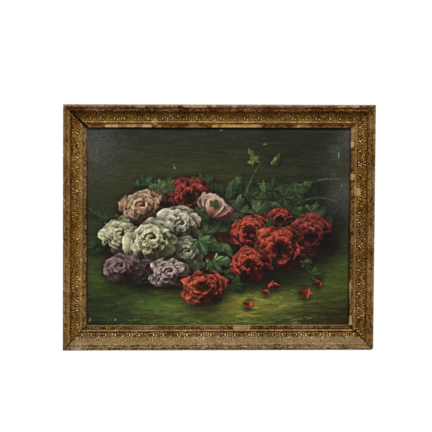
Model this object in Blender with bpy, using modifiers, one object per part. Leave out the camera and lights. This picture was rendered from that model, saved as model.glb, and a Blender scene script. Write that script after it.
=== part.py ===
"""A framed oil painting, built as the real one is.

Four lengths of gilt moulding, with pressed ornament in their hollow, are mitred round a
canvas, which is stretched over four wooden bars and sits in the rebate behind the sight edge.

Metres, +Z up. The picture faces -Y and hangs with its back against a wall in the plane y = 0.
The origin is on the back of the top rail, midway along it and midway across its back face.
"""

import math

import bmesh
import bpy
from mathutils import Matrix, Vector

# ---- driving dimensions ------------------------------------------------------------------
FRAME_WIDTH = 0.710
FRAME_HEIGHT = 0.562
CANVAS_WIDTH = 0.610
CANVAS_HEIGHT = 0.457
TOUCHING_GAP = 0.0003  # what pieces that rest on each other keep between them

# ---- the moulding's section: "inward" is from the outer edge towards the picture, and
# ---- "forward" is from the wall plane towards the viewer ---------------------------------
RAIL_FACE = 0.0545  # outer edge to sight edge
REBATE_WALL = 0.0485  # where the rebate is cut back to
REBATE_DEPTH = 0.019  # the underside of the sight edge
BACK_INSET = 0.0035  # the back of the outer side stands in from the lip
SIDE_FLAT = 0.016  # plain foot of the outer side
SIDE_HOLLOW_TOP = 0.0395
LIP_CENTRE = (0.0041, 0.0464)
LIP_RADII = (0.0041, 0.0036)
OUTER_GROOVE = (0.0092, 0.0106, 0.0470)  # from, to, forward
OUTER_BEAD_CENTRE = (0.0131, 0.0465)
OUTER_BEAD_RADII = (0.0020, 0.0013)  # a low, flattened bead
COVE_START = (0.0166, 0.0456)
COVE_WIDTH = 0.0232
COVE_STEEP = math.radians(64)  # slope where the cove leaves the outer bead
COVE_SHALLOW = math.radians(16)  # slope where it reaches the inner bead
INNER_BEAD_RADII = (0.0023, 0.0024)
INNER_BEAD_AT = 0.0418
INNER_BEAD_SUNK = 0.0004  # its middle lies this far behind the cove's end
SIGHT_GROOVE = (0.0452, 0.0461, 0.0247)
SIGHT_BAND = ((0.0468, 0.0257), (0.0498, 0.0251), (0.0532, 0.0262), (0.0542, 0.0252))
SIGHT_NOSE = 0.0236
COVE_RADIUS = COVE_WIDTH / (math.sin(COVE_STEEP) - math.sin(COVE_SHALLOW))
COVE_LENGTH = COVE_RADIUS * (COVE_STEEP - COVE_SHALLOW)  # measured along its curve

# ---- the pressed ornament: a bud, a scroll, a palmette and a scroll in each repeat --------
ORNAMENT_REPEAT = 0.0546
STATIONS_PER_REPEAT = 16
COVE_ROWS = 6
BUD = {"at": 0.0, "across": 0.58, "half_length": 0.0070, "half_width": 0.0052, "height": 0.0014}
SCROLL = {"at": 0.225, "across": 0.78, "half_length": 0.0056, "half_width": 0.0052, "height": 0.0022}
PALMETTE = {"at": 0.5, "across": 0.42, "half_length": 0.0120, "half_width": 0.0110, "height": 0.0021}

# ---- the mitre joints have opened with age: the gap at the outer edge and at the sight edge
MITRE_GAPS = {
    "top_right": (0.0003, 0.0004),
    "bottom_right": (0.0008, 0.0014),
    "bottom_left": (0.0004, 0.0010),
    "top_left": (0.0005, 0.0020),
}

KNOCKED_CORNER = 0.0045  # the bottom right corner has been knocked flat, this far along each rail

# ---- canvas and stretcher ----------------------------------------------------------------
CANVAS_THICKNESS = 0.0010
CANVAS_TURNOVER = 0.0140  # how far its tacking edges run back round the stretcher
BAR_WIDTH = 0.045
BAR_THICKNESS = 0.0154
BAR_FRONT_FALL = 0.0020  # the bar's front slopes away from the canvas by this much

# ---- places worked out from the above ----------------------------------------------------
MOUNT_INWARD = (BACK_INSET + REBATE_WALL) / 2
FRAME_TOP = MOUNT_INWARD
FRAME_MIDDLE = FRAME_TOP - FRAME_HEIGHT / 2
CANVAS_FRONT = REBATE_DEPTH - TOUCHING_GAP
BAR_FRONT = CANVAS_FRONT - CANVAS_THICKNESS - TOUCHING_GAP


def clear_scene():
    """Removes whatever the file opened with."""
    for item in list(bpy.data.objects):
        bpy.data.objects.remove(item)


def make_material(name, colour, roughness, metallic=0.0):
    """A plain Principled material in one colour."""
    material = bpy.data.materials.new(name)
    material.use_nodes = True
    shader = material.node_tree.nodes["Principled BSDF"]
    shader.inputs["Base Color"].default_value = (*colour, 1.0)
    shader.inputs["Roughness"].default_value = roughness
    shader.inputs["Metallic"].default_value = metallic
    return material


def make_object(name, shape, material, collection):
    """Turns a bmesh into a named object of the picture."""
    mesh = bpy.data.meshes.new(name)
    bmesh.ops.recalc_face_normals(shape, faces=shape.faces)
    shape.to_mesh(mesh)
    shape.free()
    mesh.materials.append(material)
    piece = bpy.data.objects.new(name, mesh)
    collection.objects.link(piece)
    return piece


def arc(centre, radii, start, end, steps):
    """Points on an ellipse from angle start to angle end, in degrees, both ends included."""
    points = []
    for step in range(steps + 1):
        angle = math.radians(start + (end - start) * step / steps)
        points.append((centre[0] + radii[0] * math.cos(angle), centre[1] + radii[1] * math.sin(angle)))
    return points


def cove_point(across, raised=0.0):
    """A point on the cove, from 0 at its outer end to 1 at its inner end, raised off its face."""
    slope = COVE_STEEP + (COVE_SHALLOW - COVE_STEEP) * across
    inward = COVE_START[0] + COVE_RADIUS * (math.sin(COVE_STEEP) - math.sin(slope))
    forward = COVE_START[1] - COVE_RADIUS * (math.cos(slope) - math.cos(COVE_STEEP))
    return inward + raised * math.sin(slope), forward + raised * math.cos(slope)


def moulding_section():
    """The closed outline of the moulding, from the back of its outer side round its face."""
    side = [(BACK_INSET, 0.0), (BACK_INSET, SIDE_FLAT), (BACK_INSET * 0.75, SIDE_FLAT + 0.0008)]
    hollow_radii = (BACK_INSET * 0.75 - 0.0006, SIDE_HOLLOW_TOP - SIDE_FLAT - 0.0008)
    hollow = arc((0.0006, SIDE_FLAT + 0.0008), hollow_radii, 0, 90, 4)
    lip = arc(LIP_CENTRE, LIP_RADII, 195, 33, 7)
    outer_groove = [(OUTER_GROOVE[0], OUTER_GROOVE[2]), (OUTER_GROOVE[1], OUTER_GROOVE[2])]
    outer_bead = arc(OUTER_BEAD_CENTRE, OUTER_BEAD_RADII, 140, 16, 4)
    quirk = [(COVE_START[0] - 0.0007, COVE_START[1] + 0.0001)]
    cove = [cove_point(row / COVE_ROWS) for row in range(COVE_ROWS + 1)]
    inner_bead = arc((INNER_BEAD_AT, cove[-1][1] - INNER_BEAD_SUNK), INNER_BEAD_RADII, 165, 0, 5)
    sight_groove = [(SIGHT_GROOVE[0], SIGHT_GROOVE[2]), (SIGHT_GROOVE[1], SIGHT_GROOVE[2])]
    sight_band = [*SIGHT_BAND, (RAIL_FACE, SIGHT_NOSE)]
    rebate = [(RAIL_FACE, REBATE_DEPTH), (REBATE_WALL, REBATE_DEPTH), (REBATE_WALL, 0.0)]
    return side + hollow[1:] + lip + outer_groove + outer_bead + quirk + cove + inner_bead + (
        sight_groove + sight_band + rebate
    )


def mound(form, along, across):
    """How high one form of the ornament stands at a place, as a rounded boss."""
    offset = abs(along) - form["at"] * ORNAMENT_REPEAT
    down = (across - form["across"]) * COVE_LENGTH
    reach = (offset / form["half_width"]) ** 2 + (down / form["half_length"]) ** 2
    return form["height"] * max(0.0, 1.0 - reach)


def palmette_lobes(along, across):
    """The palmette is a mound cut into leaves that fan out towards the lip."""
    height = mound(PALMETTE, along, across)
    offset = abs(along) - PALMETTE["at"] * ORNAMENT_REPEAT
    leaf = math.cos(math.tau * offset / (ORNAMENT_REPEAT / STATIONS_PER_REPEAT * 2))
    return height * (0.75 + 0.25 * leaf)


def ornament_height(along, across):
    """The relief at a place: along the moulding from its middle, and across the cove from 0 to 1."""
    if not 0.01 < across < 0.99:
        return 0.0
    within = (along + ORNAMENT_REPEAT / 2) % ORNAMENT_REPEAT - ORNAMENT_REPEAT / 2
    return max(mound(BUD, within, across), mound(SCROLL, within, across), palmette_lobes(within, across))


def cove_place(inward, forward):
    """The place across the cove of a point on its plain face, or None for a point elsewhere."""
    for row in range(COVE_ROWS + 1):
        on_face = cove_point(row / COVE_ROWS)
        if math.dist(on_face, (inward, forward)) < 1e-6:
            return row / COVE_ROWS
    return None


def moulding_length(length):
    """A straight length of moulding along X, centred, with its ornament. Outer edge at z = 0."""
    shape = bmesh.new()
    spacing = ORNAMENT_REPEAT / STATIONS_PER_REPEAT
    stations = 2 * math.ceil(length / 2 / spacing)
    start = -stations / 2 * spacing
    outline = [shape.verts.new((start, -forward, -inward)) for inward, forward in moulding_section()]
    end_face = shape.faces.new(outline)
    for _ in range(stations):
        grown = bmesh.ops.extrude_face_region(shape, geom=[end_face, *end_face.edges])["geom"]
        moved = [item for item in grown if isinstance(item, bmesh.types.BMVert)]
        end_face = next(item for item in grown if isinstance(item, bmesh.types.BMFace))
        bmesh.ops.translate(shape, verts=moved, vec=(spacing, 0, 0))
    for vertex in shape.verts:
        across = cove_place(-vertex.co.z, -vertex.co.y)
        if across is not None:
            inward, forward = cove_point(across, ornament_height(vertex.co.x, across))
            vertex.co.y, vertex.co.z = -forward, -inward
    return shape


def cut_end(shape, outer_point, inner_point, keep_side):
    """Saws the shape through two (x, z) points, and closes the cut. keep_side is +1 or -1 along X."""
    run = Vector((inner_point[0] - outer_point[0], 0, inner_point[1] - outer_point[1])).normalized()
    normal = Vector((run.z, 0, -run.x))
    if normal.x * keep_side > 0:
        normal.negate()
    everything = shape.verts[:] + shape.edges[:] + shape.faces[:]
    origin = Vector((outer_point[0], 0, outer_point[1]))
    cut = bmesh.ops.bisect_plane(
        shape, geom=everything, dist=1e-7, plane_co=origin, plane_no=normal, clear_outer=True
    )
    rim = [item for item in cut["geom_cut"] if isinstance(item, bmesh.types.BMEdge)]
    bmesh.ops.holes_fill(shape, edges=rim, sides=0)


def mitre(shape, half_length, width, gap_left, gap_right):
    """Cuts both ends at 45 degrees. Each gap is a pair, at the outer edge and at the inner one."""
    for side, gap in ((-1, gap_left), (1, gap_right)):
        outer = (side * (half_length - gap[0] / math.sqrt(2)), 0.0)
        inner = (side * (half_length - width - gap[1] / math.sqrt(2)), -width)
        cut_end(shape, outer, inner, -side)


def knock_corner(shape, half_length, side):
    """Flattens the outer corner at one end. side is +1 or -1 along X."""
    cut_end(shape, (side * (half_length - KNOCKED_CORNER), 0.0), (side * half_length, -KNOCKED_CORNER), -side)


def place_on_side(piece, side, middle, half_width, half_height):
    """Turns a top piece to its side of a rectangle: 0 top, 1 right, 2 bottom, 3 left."""
    reach = (half_height, half_width, half_height, half_width)[side]
    quarter_turns = Matrix.Rotation(side * math.pi / 2, 4, "Y")
    piece.matrix_world = Matrix.Translation(middle) @ quarter_turns @ Matrix.Translation((0, 0, reach))


def make_rail(name, side, gap_before, gap_after, knocked_end, material, collection):
    """One mitred rail of the frame. knocked_end is the end with the flattened corner, or 0."""
    length = FRAME_HEIGHT if side % 2 else FRAME_WIDTH
    shape = moulding_length(length)
    mitre(shape, length / 2, RAIL_FACE, gap_before, gap_after)
    if knocked_end:
        knock_corner(shape, length / 2, knocked_end)
    bmesh.ops.dissolve_limit(
        shape, angle_limit=math.radians(0.2), use_dissolve_boundaries=False,
        verts=shape.verts, edges=shape.edges,
    )
    rail = make_object(name, shape, material, collection)
    middle = Vector((0, 0, FRAME_MIDDLE))
    place_on_side(rail, side, middle, FRAME_WIDTH / 2, FRAME_HEIGHT / 2)
    return rail


def make_canvas(material, collection):
    """The canvas: a sheet over the front of the stretcher, with its edges turned back round it."""
    shape = bmesh.new()
    bmesh.ops.create_grid(shape, x_segments=1, y_segments=1, size=0.5)
    bmesh.ops.scale(shape, vec=(CANVAS_WIDTH, CANVAS_HEIGHT, 1), verts=shape.verts)
    rim = [edge for edge in shape.edges if edge.is_boundary]
    turned = bmesh.ops.extrude_edge_only(shape, edges=rim)["geom"]
    back_verts = [item for item in turned if isinstance(item, bmesh.types.BMVert)]
    bmesh.ops.translate(shape, verts=back_verts, vec=(0, 0, -CANVAS_TURNOVER))
    canvas = make_object("canvas", shape, material, collection)
    upright = Matrix.Rotation(math.pi / 2, 4, "X")
    canvas.matrix_world = Matrix.Translation((0, -CANVAS_FRONT, FRAME_MIDDLE)) @ upright
    wall = canvas.modifiers.new("cloth thickness", "SOLIDIFY")
    wall.thickness = CANVAS_THICKNESS
    wall.offset = -1
    wall.use_even_offset = True
    return canvas


def make_bar(name, side, material, collection):
    """One mitred bar of the stretcher. Its front slopes away from the canvas behind the picture."""
    slack = CANVAS_THICKNESS + TOUCHING_GAP
    half_width = CANVAS_WIDTH / 2 - slack
    half_height = CANVAS_HEIGHT / 2 - slack
    half_length = half_height if side % 2 else half_width
    back = BAR_FRONT - BAR_THICKNESS
    section = [(0.0, back), (0.0, BAR_FRONT), (BAR_WIDTH, BAR_FRONT - BAR_FRONT_FALL), (BAR_WIDTH, back)]
    shape = bmesh.new()
    outline = [shape.verts.new((-half_length, -forward, -inward)) for inward, forward in section]
    grown = bmesh.ops.extrude_face_region(shape, geom=[shape.faces.new(outline)])["geom"]
    moved = [item for item in grown if isinstance(item, bmesh.types.BMVert)]
    bmesh.ops.translate(shape, verts=moved, vec=(2 * half_length, 0, 0))
    gap = (TOUCHING_GAP, TOUCHING_GAP)
    mitre(shape, half_length, BAR_WIDTH, gap, gap)
    bar = make_object(name, shape, material, collection)
    place_on_side(bar, side, Vector((0, 0, FRAME_MIDDLE)), half_width, half_height)
    return bar


def build():
    """Makes the whole picture."""
    clear_scene()
    collection = bpy.data.collections.new("framed oil painting")
    bpy.context.scene.collection.children.link(collection)
    gilt = make_material("aged gilding", (0.36, 0.21, 0.075), 0.45, 0.5)
    paint = make_material("oil paint on canvas", (0.07, 0.085, 0.035), 0.45)
    pine = make_material("old pine", (0.42, 0.27, 0.14), 0.75)
    gaps = MITRE_GAPS
    make_rail("rail_top", 0, gaps["top_left"], gaps["top_right"], 0, gilt, collection)
    make_rail("rail_right", 1, gaps["top_right"], gaps["bottom_right"], 1, gilt, collection)
    make_rail("rail_bottom", 2, gaps["bottom_right"], gaps["bottom_left"], -1, gilt, collection)
    make_rail("rail_left", 3, gaps["bottom_left"], gaps["top_left"], 0, gilt, collection)
    make_canvas(paint, collection)
    for side, name in enumerate(("top", "right", "bottom", "left")):
        make_bar(f"stretcher_{name}", side, pine, collection)


build()
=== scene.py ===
"""The looks of a framed oil painting: worn gilt moulding, painted canvas and its stretcher.

The frame's rails carry the pressed ornament in full, with its losses and open mitres. The
painting is a flower piece, laid on touch by touch. Metres, +Z up, the picture faces -Y.
"""

from __future__ import annotations

import logging
from dataclasses import dataclass, field
from enum import Enum
from math import atan2, ceil, cos, dist, hypot, pi, radians, sin, sqrt, tau

import bmesh
import bpy
import numpy as np
from bpy.types import Material, Mesh, Node, NodeSocket as Socket, NodeTree, Object
from mathutils import Matrix, Vector


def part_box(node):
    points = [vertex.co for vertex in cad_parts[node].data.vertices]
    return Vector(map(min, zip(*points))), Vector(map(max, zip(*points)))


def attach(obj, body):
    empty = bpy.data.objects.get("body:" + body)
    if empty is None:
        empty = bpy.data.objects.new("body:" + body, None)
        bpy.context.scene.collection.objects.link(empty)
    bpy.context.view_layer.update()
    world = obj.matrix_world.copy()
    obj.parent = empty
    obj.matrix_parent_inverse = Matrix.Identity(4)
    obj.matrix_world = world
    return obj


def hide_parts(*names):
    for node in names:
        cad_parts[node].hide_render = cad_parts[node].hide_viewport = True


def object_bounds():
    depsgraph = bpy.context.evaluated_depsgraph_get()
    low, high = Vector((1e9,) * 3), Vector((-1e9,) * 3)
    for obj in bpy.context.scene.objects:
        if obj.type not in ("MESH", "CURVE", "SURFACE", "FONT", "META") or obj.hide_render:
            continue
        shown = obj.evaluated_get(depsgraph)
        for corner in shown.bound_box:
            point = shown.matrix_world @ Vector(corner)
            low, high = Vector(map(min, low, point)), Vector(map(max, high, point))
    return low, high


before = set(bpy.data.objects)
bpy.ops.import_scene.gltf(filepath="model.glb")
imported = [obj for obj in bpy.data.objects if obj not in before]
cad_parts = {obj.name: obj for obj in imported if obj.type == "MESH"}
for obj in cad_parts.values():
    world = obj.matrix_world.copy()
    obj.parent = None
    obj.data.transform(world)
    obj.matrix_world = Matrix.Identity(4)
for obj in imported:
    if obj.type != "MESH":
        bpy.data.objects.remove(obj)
CAD_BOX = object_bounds()

MM = 0.001
THREADS = 1250.0

Array = np.ndarray
Colour = tuple[float, float, float, float]
Place = tuple[float, float, float]
Value = Socket | float | Colour


# ---- helpers ------------------------------------------------------------------------------


def as_light(colours: Array) -> Array:
    """Everyday colours, as parts of one, turned linear as a shader wants them."""
    held = np.clip(colours, 0.0, 1.0)
    return np.where(held <= 0.04045, held / 12.92, ((held + 0.055) / 1.055) ** 2.4)


def srgb(red: float, green: float, blue: float) -> Colour:
    """A colour as a shader wants it, opaque and linear, from its everyday 0 to 255 values."""
    return (*as_light(np.array((red, green, blue)) / 255).tolist(), 1.0)


def rise(low: float, high: float, value: Array) -> Array:
    """A soft rise from 0 at low to 1 at high. It falls where low is the larger."""
    part = np.clip((value - low) / (high - low), 0.0, 1.0)
    return part * part * (3.0 - 2.0 * part)


class Mottle:
    """A soft random pattern over two coordinates, the same on every run."""

    CELLS = 256

    def __init__(self, seed: int) -> None:
        """Args: seed: which pattern."""
        self.lattice = np.random.default_rng(seed).random((self.CELLS, self.CELLS))

    def at(self, across: Array, along: Array, size: float) -> Array:
        """The pattern's value, from 0 to 1.

        Args:
            across, along: the coordinates.
            size: the width of one patch, in the coordinates' own unit.

        Returns:
            One value for each place.
        """
        x, y = np.asarray(across, float) / size, np.asarray(along, float) / size
        column, row = np.floor(x).astype(int), np.floor(y).astype(int)
        part_x, part_y = x - column, y - row
        part_x, part_y = part_x * part_x * (3 - 2 * part_x), part_y * part_y * (3 - 2 * part_y)
        left, right = column % self.CELLS, (column + 1) % self.CELLS
        lower, upper = (self.lattice[left, line % self.CELLS] * (1 - part_x)
                        + self.lattice[right, line % self.CELLS] * part_x for line in (row, row + 1))
        return lower * (1 - part_y) + upper * part_y

    def rich(self, across: Array, along: Array, size: float, octaves: int) -> Array:
        """The pattern with finer copies of itself laid over it.

        Args:
            across, along: the coordinates.
            size: the width of the largest patches.
            octaves: how many layers.

        Returns:
            One value from 0 to 1 for each place.
        """
        total, weight, whole = 0.0, 1.0, 0.0
        for octave in range(octaves):
            total = total + weight * self.at(across + 7.3 * octave, along - 3.1 * octave, size / 2**octave)
            whole += weight
            weight *= 0.5
        return total / whole


def averaging(places: Array, reach: float) -> Array:
    """A matrix that averages values at places along a line over their neighbours within reach."""
    weights = np.exp(-(((places[:, None] - places[None, :]) / reach) ** 2))
    return weights / weights.sum(axis=1, keepdims=True)


def store(mesh: Mesh, name: str, values: Array) -> None:
    """Keeps one number, vector or colour for each point of a mesh.

    Args:
        mesh: the mesh.
        name: the attribute's name.
        values: an array with a row for each point.
    """
    width = 1 if values.ndim == 1 else values.shape[1]
    kind, key = {1: ("FLOAT", "value"), 3: ("FLOAT_VECTOR", "vector"), 4: ("FLOAT_COLOR", "color")}[width]
    layer = mesh.attributes.get(name) or mesh.attributes.new(name, kind, "POINT")
    layer.data.foreach_set(key, np.ascontiguousarray(values, np.float32).ravel())


def points_of(mesh: Mesh) -> Array:
    """The places of a mesh's points, one row each."""
    places = np.zeros(len(mesh.vertices) * 3)
    mesh.vertices.foreach_get("co", places)
    return places.reshape(-1, 3)


def put_points(mesh: Mesh, places: Array) -> None:
    """Moves a mesh's points to new places, one row each."""
    mesh.vertices.foreach_set("co", np.ascontiguousarray(places, np.float32).ravel())
    mesh.update()


def to_mesh(shape: bmesh.types.BMesh, name: str) -> Mesh:
    """A new mesh of a shape, which is let go."""
    mesh = bpy.data.meshes.new(name)
    shape.to_mesh(mesh)
    shape.free()
    return mesh


def add_piece(name: str, mesh: Mesh, materials: list[Material]) -> Object:
    """Makes a named object from a mesh whose points are already in place.

    Args:
        name: the piece's name.
        mesh: its mesh.
        materials: its materials, in the order of its faces' indices.

    Returns:
        The object.
    """
    for material in materials:
        mesh.materials.append(material)
    piece = bpy.data.objects.new(name, mesh)
    bpy.context.scene.collection.objects.link(piece)
    return piece


# ---- shader building ------------------------------------------------------------------------


class Shading:
    """The nodes of one material or one node group, made and linked in few words."""

    def __init__(self, tree: NodeTree) -> None:
        """Args: tree: the node tree to build in."""
        self.tree = tree

    def node(self, kind: str, inputs: dict | None = None, **settings) -> Node:
        """Adds a node.

        Args:
            kind: the node's type, without its ShaderNode prefix.
            inputs: values or sockets for its inputs, by name or number.
            settings: the node's own properties.

        Returns:
            The node.
        """
        made = self.tree.nodes.new("ShaderNode" + kind)
        for key, value in settings.items():
            setattr(made, key, value)
        self.fill(made, inputs or {})
        return made

    def fill(self, node: Node, values: dict[str | int, Value]) -> None:
        """Links sockets to a node's inputs, or sets the inputs to plain values.

        Args:
            node: the node.
            values: what each input takes, by name or number.
        """
        for key, value in values.items():
            if isinstance(value, Socket):
                self.tree.links.new(value, node.inputs[key])
            else:
                node.inputs[key].default_value = value

    @property
    def place(self) -> Socket:
        """Where a point is, in metres."""
        return self.node("TexCoord").outputs["Object"]

    def math(self, operation: str, *values: Value) -> Socket:
        """A Math node's result from one, two or three values."""
        return self.node("Math", dict(enumerate(values)), operation=operation).outputs[0]

    def times(self, first: Value, *others: Value) -> Socket:
        """Values multiplied together, from the first to the last."""
        for other in others:
            first = self.math("MULTIPLY", first, other)
        return first

    def plus(self, first: Value, *others: Value) -> Socket:
        """Values added up, from the first to the last."""
        for other in others:
            first = self.math("ADD", first, other)
        return first

    def less(self, value: Value) -> Socket:
        """What a value leaves of one."""
        return self.math("SUBTRACT", 1.0, value)

    def span(self, value: Value, low: float, high: float, to_low: float = 0.0,
             to_high: float = 1.0) -> Socket:
        """A value carried smoothly from the range low to high, to another range."""
        inputs = {"Value": value, "From Min": low, "From Max": high, "To Min": to_low, "To Max": to_high}
        return self.node("MapRange", inputs, interpolation_type="SMOOTHSTEP").outputs["Result"]

    def blend(self, amount: Value, first: Value, second: Value, mode: str = "MIX") -> Socket:
        """Two colours mixed, where the amount is how much of the second."""
        inputs = {0: amount, 6: first, 7: second}
        return self.node("Mix", inputs, data_type="RGBA", blend_type=mode, clamp_factor=True).outputs[2]

    def noise(self, vector: Socket, scale: float, detail: float, roughness: float) -> Socket:
        """A noise pattern's value, where the scale says how many patches fit in a metre."""
        inputs = {"Vector": vector, "Scale": scale, "Detail": detail, "Roughness": roughness}
        return self.node("TexNoise", inputs, noise_dimensions="3D", normalize=True).outputs["Fac"]

    def crazing(self, vector: Socket, width: float, depth: float) -> Socket:
        """Fine cracks of a width and a depth, as a height below 0, about cells 1 across."""
        cells = self.node("TexVoronoi", {"Vector": vector, "Scale": 1.0}, feature="DISTANCE_TO_EDGE",
                          voronoi_dimensions="3D")
        return self.span(cells.outputs["Distance"], 0.0, width, -depth, 0.0)

    def stretched(self, vector: Socket, scale: tuple[float, float, float]) -> Socket:
        """Coordinates scaled along each axis."""
        return self.node("Mapping", {"Vector": vector, "Scale": scale}).outputs[0]

    def attribute(self, name: str, output: str = "Fac") -> Socket:
        """One output of a mesh attribute."""
        return self.node("Attribute", attribute_name=name).outputs[output]

    def soiled(self, effects: Effects, colour: Value, dirt: float, dust: Value) -> dict[str, Socket]:
        """The grime over a clean colour, by name: the soiled colour and where dust lies."""
        inputs = {"Colour": colour, "Dirt": dirt, "Dust": dust}
        return dict(self.node("Group", inputs, node_tree=effects.grime).outputs)

    def woven(self, effects: Effects) -> Socket:
        """The height of the linen's weave."""
        return self.node("Group", {"Threads": THREADS}, node_tree=effects.weave).outputs["Height"]

    def bump(self, height: Value, distance: float, strength: float) -> Socket:
        """A normal roughened by a height, where 1 stands for the distance in metres."""
        return self.node("Bump", {"Height": height, "Distance": distance, "Strength": strength}).outputs[0]


def new_material(name: str) -> tuple[Material, Shading, Node]:
    """An empty material, its shading and its Principled node."""
    material = bpy.data.materials.new(name)
    material.use_nodes = True
    return material, Shading(material.node_tree), material.node_tree.nodes["Principled BSDF"]


def new_group(name: str, inputs: dict[str, str], outputs: dict[str, str]) -> tuple:
    """An empty node group.

    Args:
        name: its name.
        inputs, outputs: the sockets' names and kinds, where a kind is Float, Color or Vector.

    Returns:
        The group, its shading, its input node and its output node.
    """
    group = bpy.data.node_groups.new(name, "ShaderNodeTree")
    for way, sockets in (("INPUT", inputs), ("OUTPUT", outputs)):
        for socket, kind in sockets.items():
            group.interface.new_socket(name=socket, in_out=way, socket_type="NodeSocket" + kind)
    return group, Shading(group), group.nodes.new("NodeGroupInput"), group.nodes.new("NodeGroupOutput")


@dataclass(frozen=True)
class Effects:
    """The node groups that more than one finish uses."""

    grime: NodeTree
    grain: NodeTree
    weave: NodeTree

    @classmethod
    def build(cls) -> Effects:
        """Makes each group once."""
        return cls(cls.make_grime(), cls.make_grain(), cls.make_weave())

    @staticmethod
    def make_grime() -> NodeTree:
        """Smoky dirt in patches, and pale dust on what faces up."""
        inputs = {"Colour": "Color", "Dirt": "Float", "Dust": "Float"}
        group, sh, given, result = new_group("grime", inputs, {"Colour": "Color", "Dust": "Float"})
        place = sh.place
        patches = sh.span(sh.noise(place, 26.0, 5.0, 0.6), 0.38, 0.68)
        soiled = sh.times(patches, given.outputs["Dirt"])
        dirty = sh.blend(soiled, given.outputs["Colour"], srgb(44, 27, 10))
        upward = sh.node("SeparateXYZ", {0: sh.node("NewGeometry").outputs["Normal"]}).outputs["Z"]
        settled = sh.span(sh.noise(place, 150.0, 6.0, 0.7), 0.15, 0.62)
        lying = sh.times(sh.span(upward, 0.30, 0.92), settled, given.outputs["Dust"])
        sh.fill(result, {"Colour": sh.blend(lying, dirty, srgb(148, 130, 90)), "Dust": lying})
        return group

    @staticmethod
    def make_grain() -> NodeTree:
        """Straight softwood grain that runs along a length of timber."""
        group, sh, given, result = new_group(
            "timber grain", {"Early": "Color", "Late": "Color"}, {"Colour": "Color", "Height": "Float"}
        )
        place = sh.attribute("timber", "Vector")
        wander = sh.noise(sh.stretched(place, (2.0, 14.0, 14.0)), 1.0, 2.0, 0.5)
        course = sh.stretched(place, (2.2, 1.0, 0.55))
        inputs = {"Vector": course, "Scale": 48.0, "Distortion": 7.0, "Detail": 2.0, "Detail Scale": 1.1}
        rings = sh.node("TexWave", inputs, wave_type="BANDS", bands_direction="Y", wave_profile="SAW")
        fibres = sh.noise(sh.stretched(place, (40.0, 1500.0, 1500.0)), 1.0, 3.0, 0.6)
        late = sh.times(sh.span(rings.outputs["Fac"], 0.35, 0.98), sh.span(wander, 0.3, 0.7, 0.15, 0.85))
        toned = sh.blend(late, given.outputs["Early"], given.outputs["Late"])
        toned = sh.blend(sh.span(fibres, 0.30, 0.75, 0.35, 0.0), toned, given.outputs["Late"])
        sh.fill(result, {"Colour": toned, "Height": sh.plus(sh.times(fibres, 0.6), late)})
        return group

    @staticmethod
    def make_weave() -> NodeTree:
        """Plain weave of linen in the picture's plane, with slubs in its threads."""
        group, sh, given, result = new_group("linen weave", {"Threads": "Float"}, {"Height": "Float"})
        place, threads = sh.place, given.outputs["Threads"]
        parts = sh.node("SeparateXYZ", {0: place}).outputs
        slubs = sh.times(sh.noise(place, 90.0, 3.0, 0.6), 0.9)
        waves = []
        for axis, across in (("X", "Z"), ("Z", "X")):
            run = sh.math("SINE", sh.times(sh.plus(sh.times(parts[axis], threads), slubs), tau))
            over = sh.math("SINE", sh.times(parts[across], threads, pi))
            waves.append(sh.math("MULTIPLY_ADD", run, sh.math("MULTIPLY_ADD", over, 0.25, 0.5), 0.5))
        sh.fill(result, {"Height": sh.times(sh.plus(*waves), 0.5)})
        return group


# ---- finishes -------------------------------------------------------------------------------


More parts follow.
